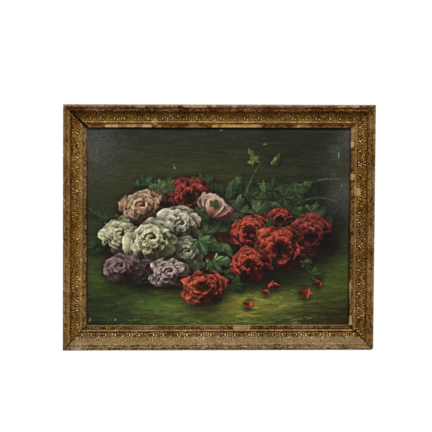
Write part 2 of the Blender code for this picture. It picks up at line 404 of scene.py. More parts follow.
@dataclass(frozen=True)
class Gilding:
    """Bronzed gilding over red clay and gesso: rubbed on its heights, dark in its hollows, with
    each rail's painted light and shade laid into its tones.
    """

    bright: Colour = srgb(236, 206, 144)
    gold: Colour = srgb(151, 115, 54)
    brown: Colour = srgb(109, 70, 22)
    dark: Colour = srgb(54, 26, 3)
    clay: Colour = srgb(184, 124, 84)
    gesso: Colour = srgb(178, 154, 112)
    bare_wood: Colour = srgb(176, 130, 66)
    khaki: Colour = srgb(148, 134, 92)
    ashen: Colour = srgb(150, 128, 106)
    metal: float = 0.5

    def make(self, effects: Effects) -> Material:
        """Builds the material.

        Args:
            effects: the shared node groups.

        Returns:
            The material.
        """
        material, sh, shader = new_material("worn gilding")
        place, along = sh.place, sh.attribute("timber", "Vector")
        masks = "height", "bare", "bare_warmth", "gilt"
        height, bare, warmth, sheen = (sh.attribute(name) for name in masks)
        clouds = sh.noise(place, 17.0, 4.0, 0.55)
        specks = sh.noise(place, 420.0, 4.0, 0.65)
        streaks = sh.noise(sh.stretched(along, (30.0, 260.0, 260.0)), 1.0, 3.0, 0.6)

        # The height attribute carries the rail's wear and its painted light and shade.
        worn = sh.plus(height, sh.span(specks, 0.25, 0.75, -0.18, 0.18))
        worn = sh.plus(worn, sh.span(clouds, 0.3, 0.7, -0.09, 0.09))
        tone = sh.blend(sh.span(worn, 0.08, 0.38), self.dark, self.brown)
        tone = sh.blend(sh.span(worn, 0.36, 0.66), tone, self.gold)
        tone = sh.blend(sh.span(worn, 0.68, 0.98), tone, self.bright)
        reddened = sh.times(sh.span(streaks, 0.50, 0.72), sh.span(clouds, 0.36, 0.62, 0.08, 0.50))
        tone = sh.blend(reddened, tone, self.clay, "MULTIPLY")
        tone = sh.blend(sh.times(sh.less(sheen), 0.8), tone, srgb(104, 80, 48))

        under = sh.blend(warmth, self.gesso, self.bare_wood)
        under = sh.blend(sh.span(specks, 0.45, 0.75, 0.0, 0.45), under, srgb(140, 112, 76))
        under = sh.blend(sh.span(sh.attribute("stain"), 0.38, 0.62, 0.0, 0.75), under, srgb(104, 76, 46))
        missing = sh.span(sh.plus(bare, sh.span(specks, 0.2, 0.8, -0.28, 0.28)), 0.44, 0.58)
        tone = sh.blend(missing, tone, under)

        held = sh.span(worn, 0.72, 0.98, 1.0, 0.1)
        filmed = sh.times(sh.attribute("film"), sh.times(held, sh.span(worn, 0.15, 0.55)))
        tone = sh.blend(filmed, tone, sh.blend(sh.span(clouds, 0.42, 0.62), self.khaki, self.ashen))
        soiled = sh.soiled(effects, tone, 0.35, sh.times(sh.attribute("dusty"), held))

        kept = sh.times(sh.less(missing), sh.less(soiled["Dust"]))
        metal = sh.times(kept, sh.span(worn, 0.30, 0.85, 0.10, self.metal))
        rough = sh.plus(sh.span(specks, 0.2, 0.8, -0.08, 0.10), sh.span(worn, 0.25, 0.75, 0.68, 0.44))
        crazed = sh.crazing(sh.stretched(along, (34.0, 3.0, 3.0)), 0.006, 1.0)
        sh.fill(shader, {
            "Base Color": soiled["Colour"],
            "Specular IOR Level": 0.05,
            "Metallic": sh.times(metal, sh.span(sheen, 0.0, 1.0, 0.25, 1.0)),
            "Roughness": sh.plus(rough, sh.times(missing, 0.3)),
            "Normal": sh.bump(sh.plus(sh.times(specks, 1.1), crazed), 0.0004, 0.8),
        })
        return material


@dataclass(frozen=True)
class Timber:
    """Bare softwood, darkened by age and handling, and painted near-black as shade where marked."""

    name: str
    early: Colour
    late: Colour
    dirt: float

    def make(self, effects: Effects) -> Material:
        """Builds the material.

        Args:
            effects: the shared node groups.

        Returns:
            The material.
        """
        material, sh, shader = new_material(self.name)
        grain = sh.node("Group", {"Early": self.early, "Late": self.late}, node_tree=effects.grain).outputs
        soiled = sh.soiled(effects, grain["Colour"], self.dirt, 0.35)
        sh.fill(shader, {
            # Painted shade: near-black where the mesh marks it, on the cores inside the open mitres.
            "Base Color": sh.blend(sh.attribute("gap_shade"), soiled["Colour"], srgb(16, 11, 7)),
            "Roughness": 0.78,
            "Specular IOR Level": 0.15,
            "Normal": sh.bump(grain["Height"], 0.0003, 0.7),
        })
        return material


@dataclass(frozen=True)
class Linen:
    """The bare back of a linen canvas, yellowed, with a size stain towards its edges."""

    fresh: Colour = srgb(168, 146, 108)
    stained: Colour = srgb(112, 86, 52)

    def make(self, effects: Effects) -> Material:
        """Builds the material.

        Args:
            effects: the shared node groups.

        Returns:
            The material.
        """
        material, sh, shader = new_material("bare linen")
        weave = sh.woven(effects)
        stain = sh.span(sh.noise(sh.place, 9.0, 5.0, 0.6), 0.40, 0.66, 0.0, 0.6)
        tone = sh.blend(stain, self.fresh, self.stained)
        # Painted shade: darker in the weave's hollows.
        tone = sh.blend(sh.span(weave, 0.2, 0.6, 0.45, 0.0), tone, srgb(70, 52, 32))
        sh.fill(shader, {
            "Base Color": sh.soiled(effects, tone, 0.25, 0.2)["Colour"],
            "Roughness": 0.88,
            "Normal": sh.bump(weave, 0.0004, 0.8),
        })
        return material


@dataclass(frozen=True)
class OilPaint:
    """Oil paint on fine linen under an old varnish, greyed in the upper corners: partly its bloom,
    partly a painted sheen of the light.
    """

    # The grey of the varnish's bloom and of the painted sheen.
    bloom: Colour = srgb(112, 115, 116)

    def make(self, effects: Effects) -> Material:
        """Builds the material.

        Args:
            effects: the shared node groups.

        Returns:
            The material.
        """
        material, sh, shader = new_material("varnished oil paint")
        place, weave = sh.place, sh.woven(effects)
        scuffs = sh.noise(place, 240.0, 5.0, 0.7)
        bristles = sh.noise(sh.stretched(place, (26.0, 70.0, 330.0)), 1.0, 5.0, 0.65)
        dulled = sh.span(scuffs, 0.25, 0.70, 0.36, 0.0)
        tone = sh.blend(dulled, sh.attribute("paint", "Color"), srgb(16, 19, 18))
        # Brush marks lighter on their ridges and darker in their furrows: partly the paint's streaks, partly
        # painted highlight and shade.
        tone = sh.blend(sh.span(bristles, 0.50, 0.74, 0.0, 0.035), tone, srgb(170, 170, 130))
        tone = sh.blend(sh.span(bristles, 0.28, 0.50, 0.17, 0.0), tone, srgb(14, 14, 8))
        # Partly varnish bloom, partly painted sheen: grey where the canvas marks it, most on the weave's
        # tops.
        greyed_by_bloom_and_sheen = sh.times(sh.attribute("bloom_and_sheen"), sh.span(scuffs, 0.32, 0.70, 0.25, 1.1),
                          sh.span(weave, 0.2, 0.7, 0.7, 1.0))
        crazed = sh.crazing(sh.stretched(place, (110.0, 110.0, 170.0)), 0.05, 0.35)
        relief = sh.plus(sh.times(weave, 0.5), sh.times(sh.attribute("touch"), 1.4))
        relief = sh.plus(relief, sh.times(bristles, 0.5), crazed)
        sh.fill(shader, {
            "Base Color": sh.blend(greyed_by_bloom_and_sheen, tone, self.bloom),
            "Roughness": sh.span(scuffs, 0.2, 0.8, 0.40, 0.56),
            "Specular IOR Level": 0.12,
            "Normal": sh.bump(relief, 0.00022, 0.7),
        })
        return material


# ---- the moulding ---------------------------------------------------------------------------


class Zone(Enum):
    """Which part of the moulding's outline a point is on."""

    BACK = 0
    SIDE = 1
    LIP = 2
    OUTER_BEAD = 3
    COVE = 4
    INNER_BEAD = 5
    SIGHT_BAND = 6
    REBATE = 7


@dataclass(frozen=True)
class Section:
    """The moulding's section. Inward runs towards the picture, forward towards the viewer."""

    face: float = 0.0545
    rebate_wall: float = 0.0485
    rebate_depth: float = 0.019
    back_inset: float = 0.0035
    side_flat: float = 0.016
    side_hollow_top: float = 0.0395
    lip_centre: tuple[float, float] = (0.0041, 0.0464)
    lip_radii: tuple[float, float] = (0.0041, 0.0036)
    outer_groove: tuple[float, float, float] = (0.0092, 0.0106, 0.0470)
    outer_bead_centre: tuple[float, float] = (0.0131, 0.0465)
    outer_bead_radii: tuple[float, float] = (0.0020, 0.0013)
    cove_start: tuple[float, float] = (0.0166, 0.0456)
    cove_width: float = 0.0232
    cove_steep: float = radians(64)
    cove_shallow: float = radians(16)
    inner_bead_radii: tuple[float, float] = (0.0023, 0.0024)
    inner_bead_at: float = 0.0418
    sight_groove: tuple[float, float, float] = (0.0452, 0.0461, 0.0247)
    band: tuple[tuple[float, float], ...] = (
        (0.0468, 0.0257), (0.0478, 0.0254), (0.0488, 0.0252), (0.0498, 0.0251), (0.0507, 0.0252),
        (0.0516, 0.0256), (0.0524, 0.0261), (0.0532, 0.0262), (0.0539, 0.0257), (0.0544, 0.0248),
    )
    nose: float = 0.0236
    cove_rows: int = 40

    @property
    def cove_radius(self) -> float:
        """The radius of the cove's hollow."""
        return self.cove_width / (sin(self.cove_steep) - sin(self.cove_shallow))

    @property
    def cove_length(self) -> float:
        """The cove's length along its curve."""
        return self.cove_radius * (self.cove_steep - self.cove_shallow)

    def cove_point(self, across: float) -> tuple[float, float]:
        """A point of the cove, from 0 at its outer end to 1 at its inner end."""
        slope = self.cove_steep + (self.cove_shallow - self.cove_steep) * across
        inward = self.cove_start[0] + self.cove_radius * (sin(self.cove_steep) - sin(slope))
        forward = self.cove_start[1] - self.cove_radius * (cos(slope) - cos(self.cove_steep))
        return inward, forward

    @staticmethod
    def arc(centre: tuple[float, float], radii: tuple[float, float], start: float, end: float,
            steps: int) -> list[tuple[float, float]]:
        """Points on an ellipse between two angles in degrees, both ends included."""
        angles = np.radians(np.linspace(start, end, steps + 1))
        return [(centre[0] + radii[0] * cos(a), centre[1] + radii[1] * sin(a)) for a in angles]

    def outline(self) -> list[tuple[float, float, Zone]]:
        """The closed outline, from the middle of the back round the outer side and over the face.

        Returns:
            Each point's places inward and forward, and the part that it is on.
        """
        middle = (self.back_inset + self.rebate_wall) / 2
        hollow = (self.back_inset * 0.75 - 0.0006, self.side_hollow_top - self.side_flat - 0.0008)
        runs = [
            (Zone.BACK, [(middle, 0.0), (self.back_inset + 0.0006, 0.0), (self.back_inset, 0.0006)]),
            (Zone.SIDE, [(self.back_inset, self.side_flat)]),
            (Zone.SIDE, self.arc((0.0006, self.side_flat + 0.0008), hollow, 0, 90, 5)),
            (Zone.LIP, self.arc(self.lip_centre, self.lip_radii, 195, 33, 11)),
            (Zone.OUTER_BEAD, [(at, self.outer_groove[2]) for at in self.outer_groove[:2]]),
            (Zone.OUTER_BEAD, self.arc(self.outer_bead_centre, self.outer_bead_radii, 140, 16, 7)),
            (Zone.OUTER_BEAD, [(self.cove_start[0] - 0.0007, self.cove_start[1] + 0.0001)]),
            (Zone.COVE, [self.cove_point(row / self.cove_rows) for row in range(self.cove_rows + 1)]),
        ]
        inner_bead_centre = (self.inner_bead_at, self.cove_point(1.0)[1] - 0.0004)
        runs += [
            (Zone.INNER_BEAD, self.arc(inner_bead_centre, self.inner_bead_radii, 165, 0, 8)),
            (Zone.INNER_BEAD, [(at, self.sight_groove[2]) for at in self.sight_groove[:2]]),
            (Zone.SIGHT_BAND, [*self.band, (self.face, self.nose)]),
            (Zone.REBATE, [(self.face, self.rebate_depth), (self.rebate_wall, self.rebate_depth)]),
            (Zone.REBATE, [(self.rebate_wall, 0.0006), (self.rebate_wall - 0.0006, 0.0)]),
        ]
        return [(*point, zone) for zone, points in runs for point in points]


@dataclass(frozen=True)
class Ornament:
    """The pressed ornament: facing scrolls under a spray of leaves, and buds and fans between."""

    repeat: float = 54.6
    margin: float = 3.9
    scroll_at: float = 12.2
    scroll_down: float = 20.0
    relief: float = 1.7

    @staticmethod
    def ridge(distance: Array, width: float) -> Array:
        """A rounded ridge, 1 at its crest."""
        return np.exp(-((distance / width) ** 2))

    def from_scroll(self, along: Array, down: Array) -> tuple[Array, Array]:
        """The same places as they lie from the middle of the nearer scroll of a pair."""
        return self.scroll_at - np.abs(along), down - self.scroll_down

    def scroll(self, along: Array, down: Array) -> Array:
        """A crescent that opens towards its partner, fat on its outer side, with a bulb at each tip."""
        x, y = self.from_scroll(along, down)
        reach, turn = np.hypot(x, y), np.arctan2(y, x)
        fat = rise(2.0, 2.7, np.abs(turn))
        rim = (0.45 + 0.75 * fat) * self.ridge(reach - 4.4, 0.80 + 1.30 * fat)
        rim = rim * rise(0.7, 1.1, np.abs(turn))
        lower = 0.95 * self.ridge(np.hypot(x + 1.2, y + 4.2), 1.5)
        upper = 0.80 * self.ridge(np.hypot(x - 2.6, y - 2.9), 1.5)
        return np.maximum.reduce([rim, lower, upper])

    def sunk(self, along: Array, down: Array) -> Array:
        """The sunk ground about a scroll."""
        return rise(8.8, 6.4, np.hypot(*self.from_scroll(along, down)))

    def spray(self, along: Array, down: Array) -> Array:
        """A spray of narrow leaves that spreads from each scroll towards the lip."""
        x, y = self.from_scroll(along, down)
        reach, angle = np.hypot(x, y), np.arctan2(x + 2.0, -y)
        lobes = 0.5 + 0.5 * np.cos(tau * angle / 0.44)
        tip = 17.4 - 3.0 * angle**2 + 2.0 * lobes
        inside = rise(tip, tip - 4.0, reach) * rise(6.6, 9.0, reach)
        return inside * rise(1.20, 0.95, np.abs(angle)) * (0.16 + 0.66 * lobes)

    def bud(self, along: Array, down: Array) -> Array:
        """The bud between two scrolls."""
        swell = 1.0 + 0.30 * np.clip(20.5 - down, 0, 6)
        return 0.72 * np.clip(1 - (along / swell) ** 2 - ((down - 14.6) / 4.6) ** 2, 0, 1) ** 0.6

    def fan(self, along: Array, down: Array) -> Array:
        """A fan of leaves that opens towards the lip, midway between the pairs."""
        aside, base = self.repeat / 2 - np.abs(along), 13.2
        reach, angle = np.hypot(aside, base - down), np.abs(np.arctan2(aside, base - down))
        lobes = 0.5 + 0.5 * np.cos(tau * angle / 0.58)
        tip = 11.6 - 1.6 * (angle / 1.2) ** 2 + 1.6 * lobes
        inside = rise(tip, tip - 1.3, reach) * rise(1.6, 2.6, reach)
        leaves = inside * rise(1.25, 1.05, angle) * (0.10 + 0.80 * lobes * rise(1.0, 6.0, reach))
        return np.maximum(leaves, 0.60 * self.ridge(reach, 1.7))

    def flutes(self, along: Array, down: Array) -> Array:
        """Low upright flutes behind the fan, which run to the inner bead."""
        aside = self.repeat / 2 - np.abs(along)
        inside = rise(8.2, 7.0, aside) * rise(15.6, 17.2, down)
        return inside * (0.12 + 0.26 * (0.5 + 0.5 * np.cos(tau * aside / 4.9)))

    def height(self, along: Array, down: Array) -> Array:
        """The relief over the cove.

        Args:
            along: millimetres along the moulding, from the middle of a pair of scrolls.
            down: millimetres along the cove's curve, from its outer end.

        Returns:
            The height off the plain cove, in millimetres.
        """
        within = (along + self.repeat / 2) % self.repeat - self.repeat / 2
        ends = rise(0.2, 1.0, down) * rise(31.0, 30.0, down)
        down = down - self.margin
        bed = self.sunk(within, down)
        forms = self.spray, self.bud, self.fan, self.flutes
        ground = [form(within, down) * (1 - 0.9 * bed) for form in forms]
        return (self.relief * np.maximum.reduce([self.scroll(within, down), *ground]) - 0.40 * bed) * ends


@dataclass(frozen=True)
class Loss:
    """A place where the ornament or the gilding has come away. Millimetres.

    Along is measured from the rail's middle, inward from the outer edge. The warmth runs from
    0 for gesso to 1 for bare wood, and clean is how free the place is of stain.
    """

    start: float
    end: float
    inner: float
    outer: float
    depth: float = 0.45
    warmth: float = 0.0
    clean: float = 0.0


@dataclass(frozen=True)
class WearAndShade:
    """How a rail's gilding has aged, with painted light and shade. Its tones run from 0, dark,
    to 1, rubbed bright.

    The tone, lip, bead and band set the rail's tones, partly for its wear and partly as painted
    light and shade for how light falls on its side. The slope is painted shade: how much lighter
    the cove is at its inner end. The contrast is how clearly its ornament shows, at its outer
    and its inner end, set partly by how light falls on the rail. The crease shade is painted shade
    in the outer groove, the cove's inner end, the sight groove and the sight edge, and painted
    light where it is below 0. The edge is how light the lip's arris is: partly its rubbing, partly
    painted light where it turns under into shade. The film is the dust on the lip, the cove's two
    halves and the sight band.
    """

    tone: float
    lip: float
    bead: float
    band: float
    slope: float
    contrast: tuple[float, float]
    crease_shade: tuple[float, float, float, float]
    edge: float
    rubbing: float
    film: tuple[float, float, float, float]


@dataclass
class MitredLength:
    """A length of timber on one side of a rectangle, sawn at an angle at both ends.

    It is worked lying along X with its front to -Y and its inner side to -Z.
    """

    name: str
    side: int
    length: float

    @staticmethod
    def saw(shape: bmesh.types.BMesh, outer: Vector, inner: Vector, end: int,
            parts: list | None = None) -> None:
        """Cuts one end off along a line, and closes the cut with bare timber.

        Args:
            shape: the mesh to cut.
            outer, inner: two points of the cut.
            end: which end is cut off, -1 or 1.
            parts: the points, edges and faces to cut, or none for the whole mesh.
        """
        run = (inner - outer).normalized()
        normal = Vector((run.z, 0, -run.x))
        if normal.x * end < 0:
            normal.negate()
        parts = parts or shape.verts[:] + shape.edges[:] + shape.faces[:]
        cut = bmesh.ops.bisect_plane(shape, geom=parts, dist=1e-7, plane_co=outer, plane_no=normal,
                                     clear_outer=True)
        rim = [item for item in cut["geom_cut"] if isinstance(item, bmesh.types.BMEdge)]
        for face in bmesh.ops.holes_fill(shape, edges=rim, sides=0)["faces"]:
            face.material_index = 1
            face.smooth = False

    def place(self, mesh: Mesh, low: Vector, high: Vector) -> None:
        """Turns the length to its side of a rectangle.

        Args:
            mesh: the length's mesh.
            low, high: opposite corners of the rectangle.
        """
        middle = Vector(((low.x + high.x) / 2, 0, (low.z + high.z) / 2))
        reach = ((high.z - low.z) / 2, (high.x - low.x) / 2)[self.side % 2]
        turn = Matrix.Rotation(self.side * pi / 2, 4, "Y")
        mesh.transform(Matrix.Translation(middle) @ turn @ Matrix.Translation((0, 0, reach)))


class SurfaceGrid:
    """The stations and rows of a rail's surface, with each point's place in millimetres.

    It keeps the section's points with their zones and outward directions, and over the whole
    grid the places along the rail, down the cove's curve, inward, and round the section.
    """

    def __init__(self, section: Section, stations: Array) -> None:
        """Lays out the grid.

        Args:
            section: the moulding's section.
            stations: their places along the rail, from its middle.
        """
        outline = section.outline()
        self.points = np.array([point[:2] for point in outline]) / MM
        self.zones = np.array([point[2].value for point in outline])
        self.cove = self.zones == Zone.COVE.value
        self.front = (self.zones >= Zone.LIP.value) & (self.zones <= Zone.SIGHT_BAND.value)
        before = np.roll(self.points, 1, axis=0)
        run = np.roll(self.points, -1, axis=0) - before
        run /= np.linalg.norm(run, axis=1, keepdims=True)
        self.outward = np.stack([-run[:, 1], run[:, 0]], axis=1)
        self.stations, self.rows = stations, np.cumsum(np.linalg.norm(self.points - before, axis=1))
        down = np.where(self.cove, np.cumsum(self.cove) - 1, 0) * section.cove_length / MM / section.cove_rows
        self.along, self.down = np.meshgrid(stations, down, indexing="ij")
        self.inward = np.broadcast_to(self.points[:, 0], self.along.shape)
        self.girth = np.broadcast_to(self.rows, self.along.shape)

    def hollow(self) -> Array:
        """How far each row stands out from the section's smoothed outline."""
        return ((self.points - averaging(self.rows, 2.6) @ self.points) * self.outward).sum(axis=1)

    def local(self, relief: Array) -> Array:
        """How far a relief stands out from its neighbourhood."""
        return relief - averaging(self.stations, 2.0) @ relief @ averaging(self.rows, 2.0).T

    def plain(self) -> Array:
        """The places on the plain section: along, inward and forward."""
        forward = np.broadcast_to(self.points[:, 1], self.along.shape)
        return np.stack([self.along, self.inward, forward], axis=-1) * MM

    def raised(self, relief: Array) -> Array:
        """The places once the surface stands out by a relief, front to -Y and inner side to -Z."""
        moved = self.points[None] + relief[..., None] * self.outward[None]
        return np.stack([self.along, -moved[..., 1], -moved[..., 0]], axis=-1) * MM


@dataclass
class Rail(MitredLength):
    """One length of the gilt moulding, in place."""

    gap_before: tuple[float, float]
    gap_after: tuple[float, float]
    phase: float
    knocked_end: int
    losses: tuple[Loss, ...]
    wear_and_shade: WearAndShade
    step: float = 0.7
    overrun: float = 2.0
    knocked: float = 0.0045
    core_reach: float = 0.07
    core_slack: float = 0.00001
    section: Section = field(default_factory=Section)
    ornament: Ornament = field(default_factory=Ornament)

    def __post_init__(self) -> None:
        """Gives the rail its own pattern of wear."""
        self.noise = Mottle(40 + self.side)

    def build(self) -> Mesh:
        """Models the rail.

        Returns:
            The finished mesh, with its wear and its painted light and shade stored in attributes.
        """
        stations = 2 * ceil((self.length / MM / 2 + self.overrun) / self.step)
        grid = SurfaceGrid(self.section, (np.arange(stations + 1) - stations / 2) * self.step)
        rows = len(grid.points)
        shape = bmesh.new()
        bmesh.ops.create_grid(shape, x_segments=stations, y_segments=rows, size=0.5)
        mesh = to_mesh(shape, self.name)
        flat = points_of(mesh)
        station = np.rint((flat[:, 0] + 0.5) * stations).astype(int)
        row = np.rint((flat[:, 1] + 0.5) * rows).astype(int)
        relief, masks = self.lose(grid, self.press(grid))
        film = self.film(grid)
        masks |= {
            "timber": grid.plain(),
            "gap_shade": np.zeros_like(film),
            "height": self.tone(grid, relief),
            "gilt": np.broadcast_to(grid.front + 0.25 * (grid.zones == Zone.SIDE.value), film.shape),
            "dusty": np.where(grid.zones == Zone.LIP.value, 0.7, film + 0.15 * ~grid.cove),
            "film": film,
        }
        for name, values in masks.items():
            store(mesh, name, values[station, row % rows])
        put_points(mesh, grid.raised(relief)[station, row % rows])
        self.paint_faces(mesh, row, (grid.zones != Zone.BACK.value) & (grid.zones != Zone.REBATE.value))
        self.cut(mesh)
        self.place(mesh, *CAD_BOX)
        return mesh

    def press(self, grid: SurfaceGrid) -> Array:
        """The relief of the sound surface: its ornament, its stippled ground and its knocks.

        Args:
            grid: the rail's surface.

        Returns:
            The height off the plain section, in millimetres.
        """
        relief = self.ornament.height(grid.along - self.phase / MM, grid.down) * grid.cove
        stipple = self.noise.rich(grid.along, grid.girth, 3.0, 2) - 0.5
        relief = relief + stipple * (0.85 * grid.cove + 0.45 * grid.front)
        relief = relief + self.tongues(grid.along, grid.inward) * (grid.zones == Zone.SIGHT_BAND.value)
        knocks = rise(0.74, 0.95, self.noise.at(grid.along + 31.0, grid.girth * 1.7, 9.0))
        return relief - 0.55 * knocks * grid.front

    def lose(self, grid: SurfaceGrid, relief: Array) -> tuple[Array, dict[str, Array]]:
        """Takes away what has broken or rubbed off.

        Args:
            grid: the rail's surface.
            relief: the sound relief.

        Returns:
            The relief that is left, and the masks of what has come bare.
        """
        noise, along, inward, front = self.noise, grid.along, grid.inward, grid.front
        bare, warmth = np.zeros_like(relief), np.zeros_like(relief)
        stain = noise.rich(along + 50.0, 0.25 * inward, 17.0, 3)
        varied = 0.7 * (noise.at(along, 0 * along, 13.0) - 0.5)
        for loss in self.losses:
            mask = self.loss_mask(loss, along, inward) * front
            relief = relief * (1 - 0.85 * mask) - loss.depth * mask
            bare = np.maximum(bare, mask)
            warmth = np.where(mask > 0.05, loss.warmth + varied, warmth)
            stain = np.where(mask > 0.05, stain * (1 - loss.clean), stain)
        relief = relief + 0.25 * (noise.at(along, 0 * along, 90.0) - 0.5) * front
        rubbed = noise.rich(along * 0.6 + 11.0, grid.girth, 3.4, 3) + 0.2 * self.wear_and_shade.rubbing
        rubbed = 0.8 * rise(0.64, 0.80, rubbed) * (grid.zones == Zone.LIP.value)
        bare = np.maximum(bare, rubbed * rise(5.2, 3.2, inward))
        chipped = rise(0.50, 0.62, noise.rich(along * 1.3, grid.girth, 2.8, 3))
        bare = np.maximum(bare, chipped * self.joint_dirt(along, inward) * front)
        return relief, {"bare": bare, "bare_warmth": warmth, "stain": stain}

    def tone(self, grid: SurfaceGrid, relief: Array) -> Array:
        """How rubbed or dark the gilding is, with painted light and shade laid in.

        Args:
            grid: the rail's surface.
            relief: its relief.

        Returns:
            From 0, dark, to 1, rubbed bright.
        """
        wear_and_shade, noise, section, cove, down = self.wear_and_shade, self.noise, self.section, grid.cove, grid.down
        tones = {Zone.LIP: wear_and_shade.lip, Zone.OUTER_BEAD: wear_and_shade.bead, Zone.INNER_BEAD: 0.54,
                 Zone.SIGHT_BAND: wear_and_shade.band}
        toned = wear_and_shade.tone + np.array([tones.get(Zone(zone), 0.42) for zone in grid.zones])
        # Painted shade: the cove darker at its outer end, by the rail's slope.
        toned = toned + wear_and_shade.slope * cove * (down / section.cove_length * MM - 0.5)
        grooves = (section.outer_groove[1], section.cove_point(1.0)[0], section.sight_groove[1],
                   section.face - 0.0004)
        # Painted shade in the grooves and along the sight edge; painted light where a crease shade is below
        # 0.
        for crease, groove in zip(wear_and_shade.crease_shade, grooves):
            near = np.exp(-(((grid.points[:, 0] - groove / MM) / 1.1) ** 2))
            toned = toned - crease * near * (grid.zones < Zone.REBATE.value)
        # The lip's arris lighter: partly rubbing, partly painted light where it turns under into shade.
        toned = toned + wear_and_shade.edge * rise(3.8, 1.4, grid.points[:, 0]) * grid.front
        clear = np.interp(noise.rich(grid.along + 70.0, down, 19.0, 2), (0.35, 0.65), (0.6, 1.2))
        contrast = np.where(cove, clear * np.interp(down, (10.0, 19.0), wear_and_shade.contrast), 1.0)
        # Crests lighter and hollows darker: partly rubbing and grime, partly painted highlight and shade, by
        # the rail's contrast.
        local = grid.local(relief)
        shown = 0.60 * local + 0.40 * local * np.abs(local)
        height = toned + 0.08 * grid.hollow() + contrast * (shown + 0.16 * (relief - 0.5) * cove)
        flecks = noise.rich(0.5 * grid.along - 20.0, grid.girth, 3.0, 2) - 0.5
        height = height + flecks * (0.50 - 0.18 * cove)
        slant, steep = grid.along + 0.5 * grid.girth, 0.6 * grid.girth - 0.5 * grid.along
        pits = noise.rich(slant + 35.0, steep, 2.2, 2) - 0.5
        height = height + 0.62 * wear_and_shade.contrast[0] * pits * grid.front * ~cove
        return np.clip(height - 0.5 * self.joint_dirt(grid.along, grid.inward), 0, 1)

    def film(self, grid: SurfaceGrid) -> Array:
        """The dust that has settled on the lip, the cove's two halves and the sight band."""
        lip, outer, inner, band = self.wear_and_shade.film
        cove = np.interp(grid.down, (14.0, 19.0), (outer, inner))
        film = np.where(grid.zones > Zone.COVE.value, band, cove)
        return np.where(grid.zones < Zone.COVE.value, lip + 0.4 * rise(3.0, 1.0, grid.inward), film)

    def tongues(self, along: Array, inward: Array) -> Array:
        """The small tongues pressed in the sight band, beside its groove."""
        across = rise(46.8, 47.6, inward) * rise(52.6, 51.2, inward)
        return 0.25 * (np.abs(np.sin(pi * along / 5.4)) ** 0.7 - 0.6) * across

    def joint_dirt(self, along: Array, inward: Array) -> Array:
        """The dirt that has gathered along the mitres."""
        away = (self.length / MM / 2 - np.abs(along) - inward) / sqrt(2)
        return np.exp(-np.clip(away - 0.5, 0, None) / 0.9) * rise(3.0, 11.0, inward)

    def loss_mask(self, loss: Loss, along: Array, inward: Array) -> Array:
        """Where one loss is, with ragged ends."""
        ragged, rounding = 3.4 * (self.noise.rich(along, inward * 2.0, 4.2, 4) - 0.5), 5.0
        ends = np.minimum(along - loss.start, loss.end - along)
        sides = 1.5 * np.minimum(inward - loss.inner, loss.outer - inward)
        inside = rounding - np.hypot(np.clip(rounding - ends, 0, None), np.clip(rounding - sides, 0, None))
        return rise(-0.45, 0.45, inside + ragged)

    def paint_faces(self, mesh: Mesh, row: Array, gilded: Array) -> None:
        """Smooths all faces, and gives bare timber to those of the back and the rebate.

        Args:
            mesh: the rail's mesh, of four-sided faces.
            row: each point's row.
            gilded: whether each row is gilded.
        """
        corners = np.zeros(len(mesh.loops), np.int32)
        mesh.loops.foreach_get("vertex_index", corners)
        lowest = row[corners].reshape(-1, 4).min(axis=1) % len(gilded)
        mesh.polygons.foreach_set("material_index", np.where(gilded[lowest], 0, 1).astype(np.int32))
        mesh.polygons.foreach_set("use_smooth", np.ones(len(mesh.polygons), bool))

    def cut(self, mesh: Mesh) -> None:
        """Closes the moulding's seam, saws its mitres and the knocked corner, and adds its cores.

        Args:
            mesh: the rail's mesh, still an open sheet.
        """
        shape = bmesh.new()
        shape.from_mesh(mesh)
        bmesh.ops.remove_doubles(shape, verts=shape.verts, dist=1e-6)
        half, face = self.length / 2, self.section.face
        for end, gap in ((-1, self.gap_before), (1, self.gap_after)):
            outer = Vector((end * (half - gap[0] / sqrt(2)), 0, 0))
            inner = Vector((end * (half - face - gap[1] / sqrt(2)), 0, -face))
            self.saw(shape, outer, inner, end)
        if self.knocked_end:
            end, knocked = self.knocked_end, self.knocked
            self.saw(shape, Vector((end * (half - knocked), 0, 0)), Vector((end * half, 0, -knocked)), end)
        for end in (-1, 1):
            self.add_core(shape, end)
        bmesh.ops.recalc_face_normals(shape, faces=shape.faces)
        shape.to_mesh(mesh)
        shape.free()
        mesh.set_sharp_from_angle(angle=radians(58))

    def add_core(self, shape: bmesh.types.BMesh, end: int) -> None:
        """Adds the timber deep inside an end, which still meets where the mitre's face has opened.
        It is painted near-black, as the shade inside the open mitre.

        Args:
            shape: the rail's mesh.
            end: which end, -1 or 1.
        """
        outline = ((0.006, 0.002), (0.006, 0.037), (0.002, 0.042), (0.002, 0.0465), (0.0065, 0.0465),
                   (0.009, 0.0440), (0.0165, 0.0415), (0.0215, 0.032), (0.030, 0.0245), (0.038, 0.0215),
                   (0.047, 0.0220), (0.0535, 0.0222), (0.0535, 0.0195), (0.047, 0.0195), (0.047, 0.002))
        half = self.length / 2
        grain, gap_shade = shape.verts.layers.float_vector["timber"], shape.verts.layers.float["gap_shade"]
        near, far = ([shape.verts.new((end * place, -forward, -inward)) for inward, forward in outline]
                     for place in (half - self.core_reach, half))
        faces = [shape.faces.new(near), shape.faces.new(far[::-1])]
        faces += [shape.faces.new((near[k - 1], near[k], far[k], far[k - 1])) for k in range(len(near))]
        for face in faces:
            face.material_index = 1
        # The cores are painted near-black: painted shade inside the open mitre.
        for vertex in near + far:
            vertex[grain] = (vertex.co.x, -vertex.co.z, -vertex.co.y)
            vertex[gap_shade] = 1.0
        edges = {edge for face in faces for edge in face.edges}
        meet = half - self.core_slack * sqrt(2)
        self.saw(shape, Vector((end * meet, 0, 0)), Vector((end * (meet - 0.1), 0, -0.1)), end,
                 near + far + list(edges) + faces)


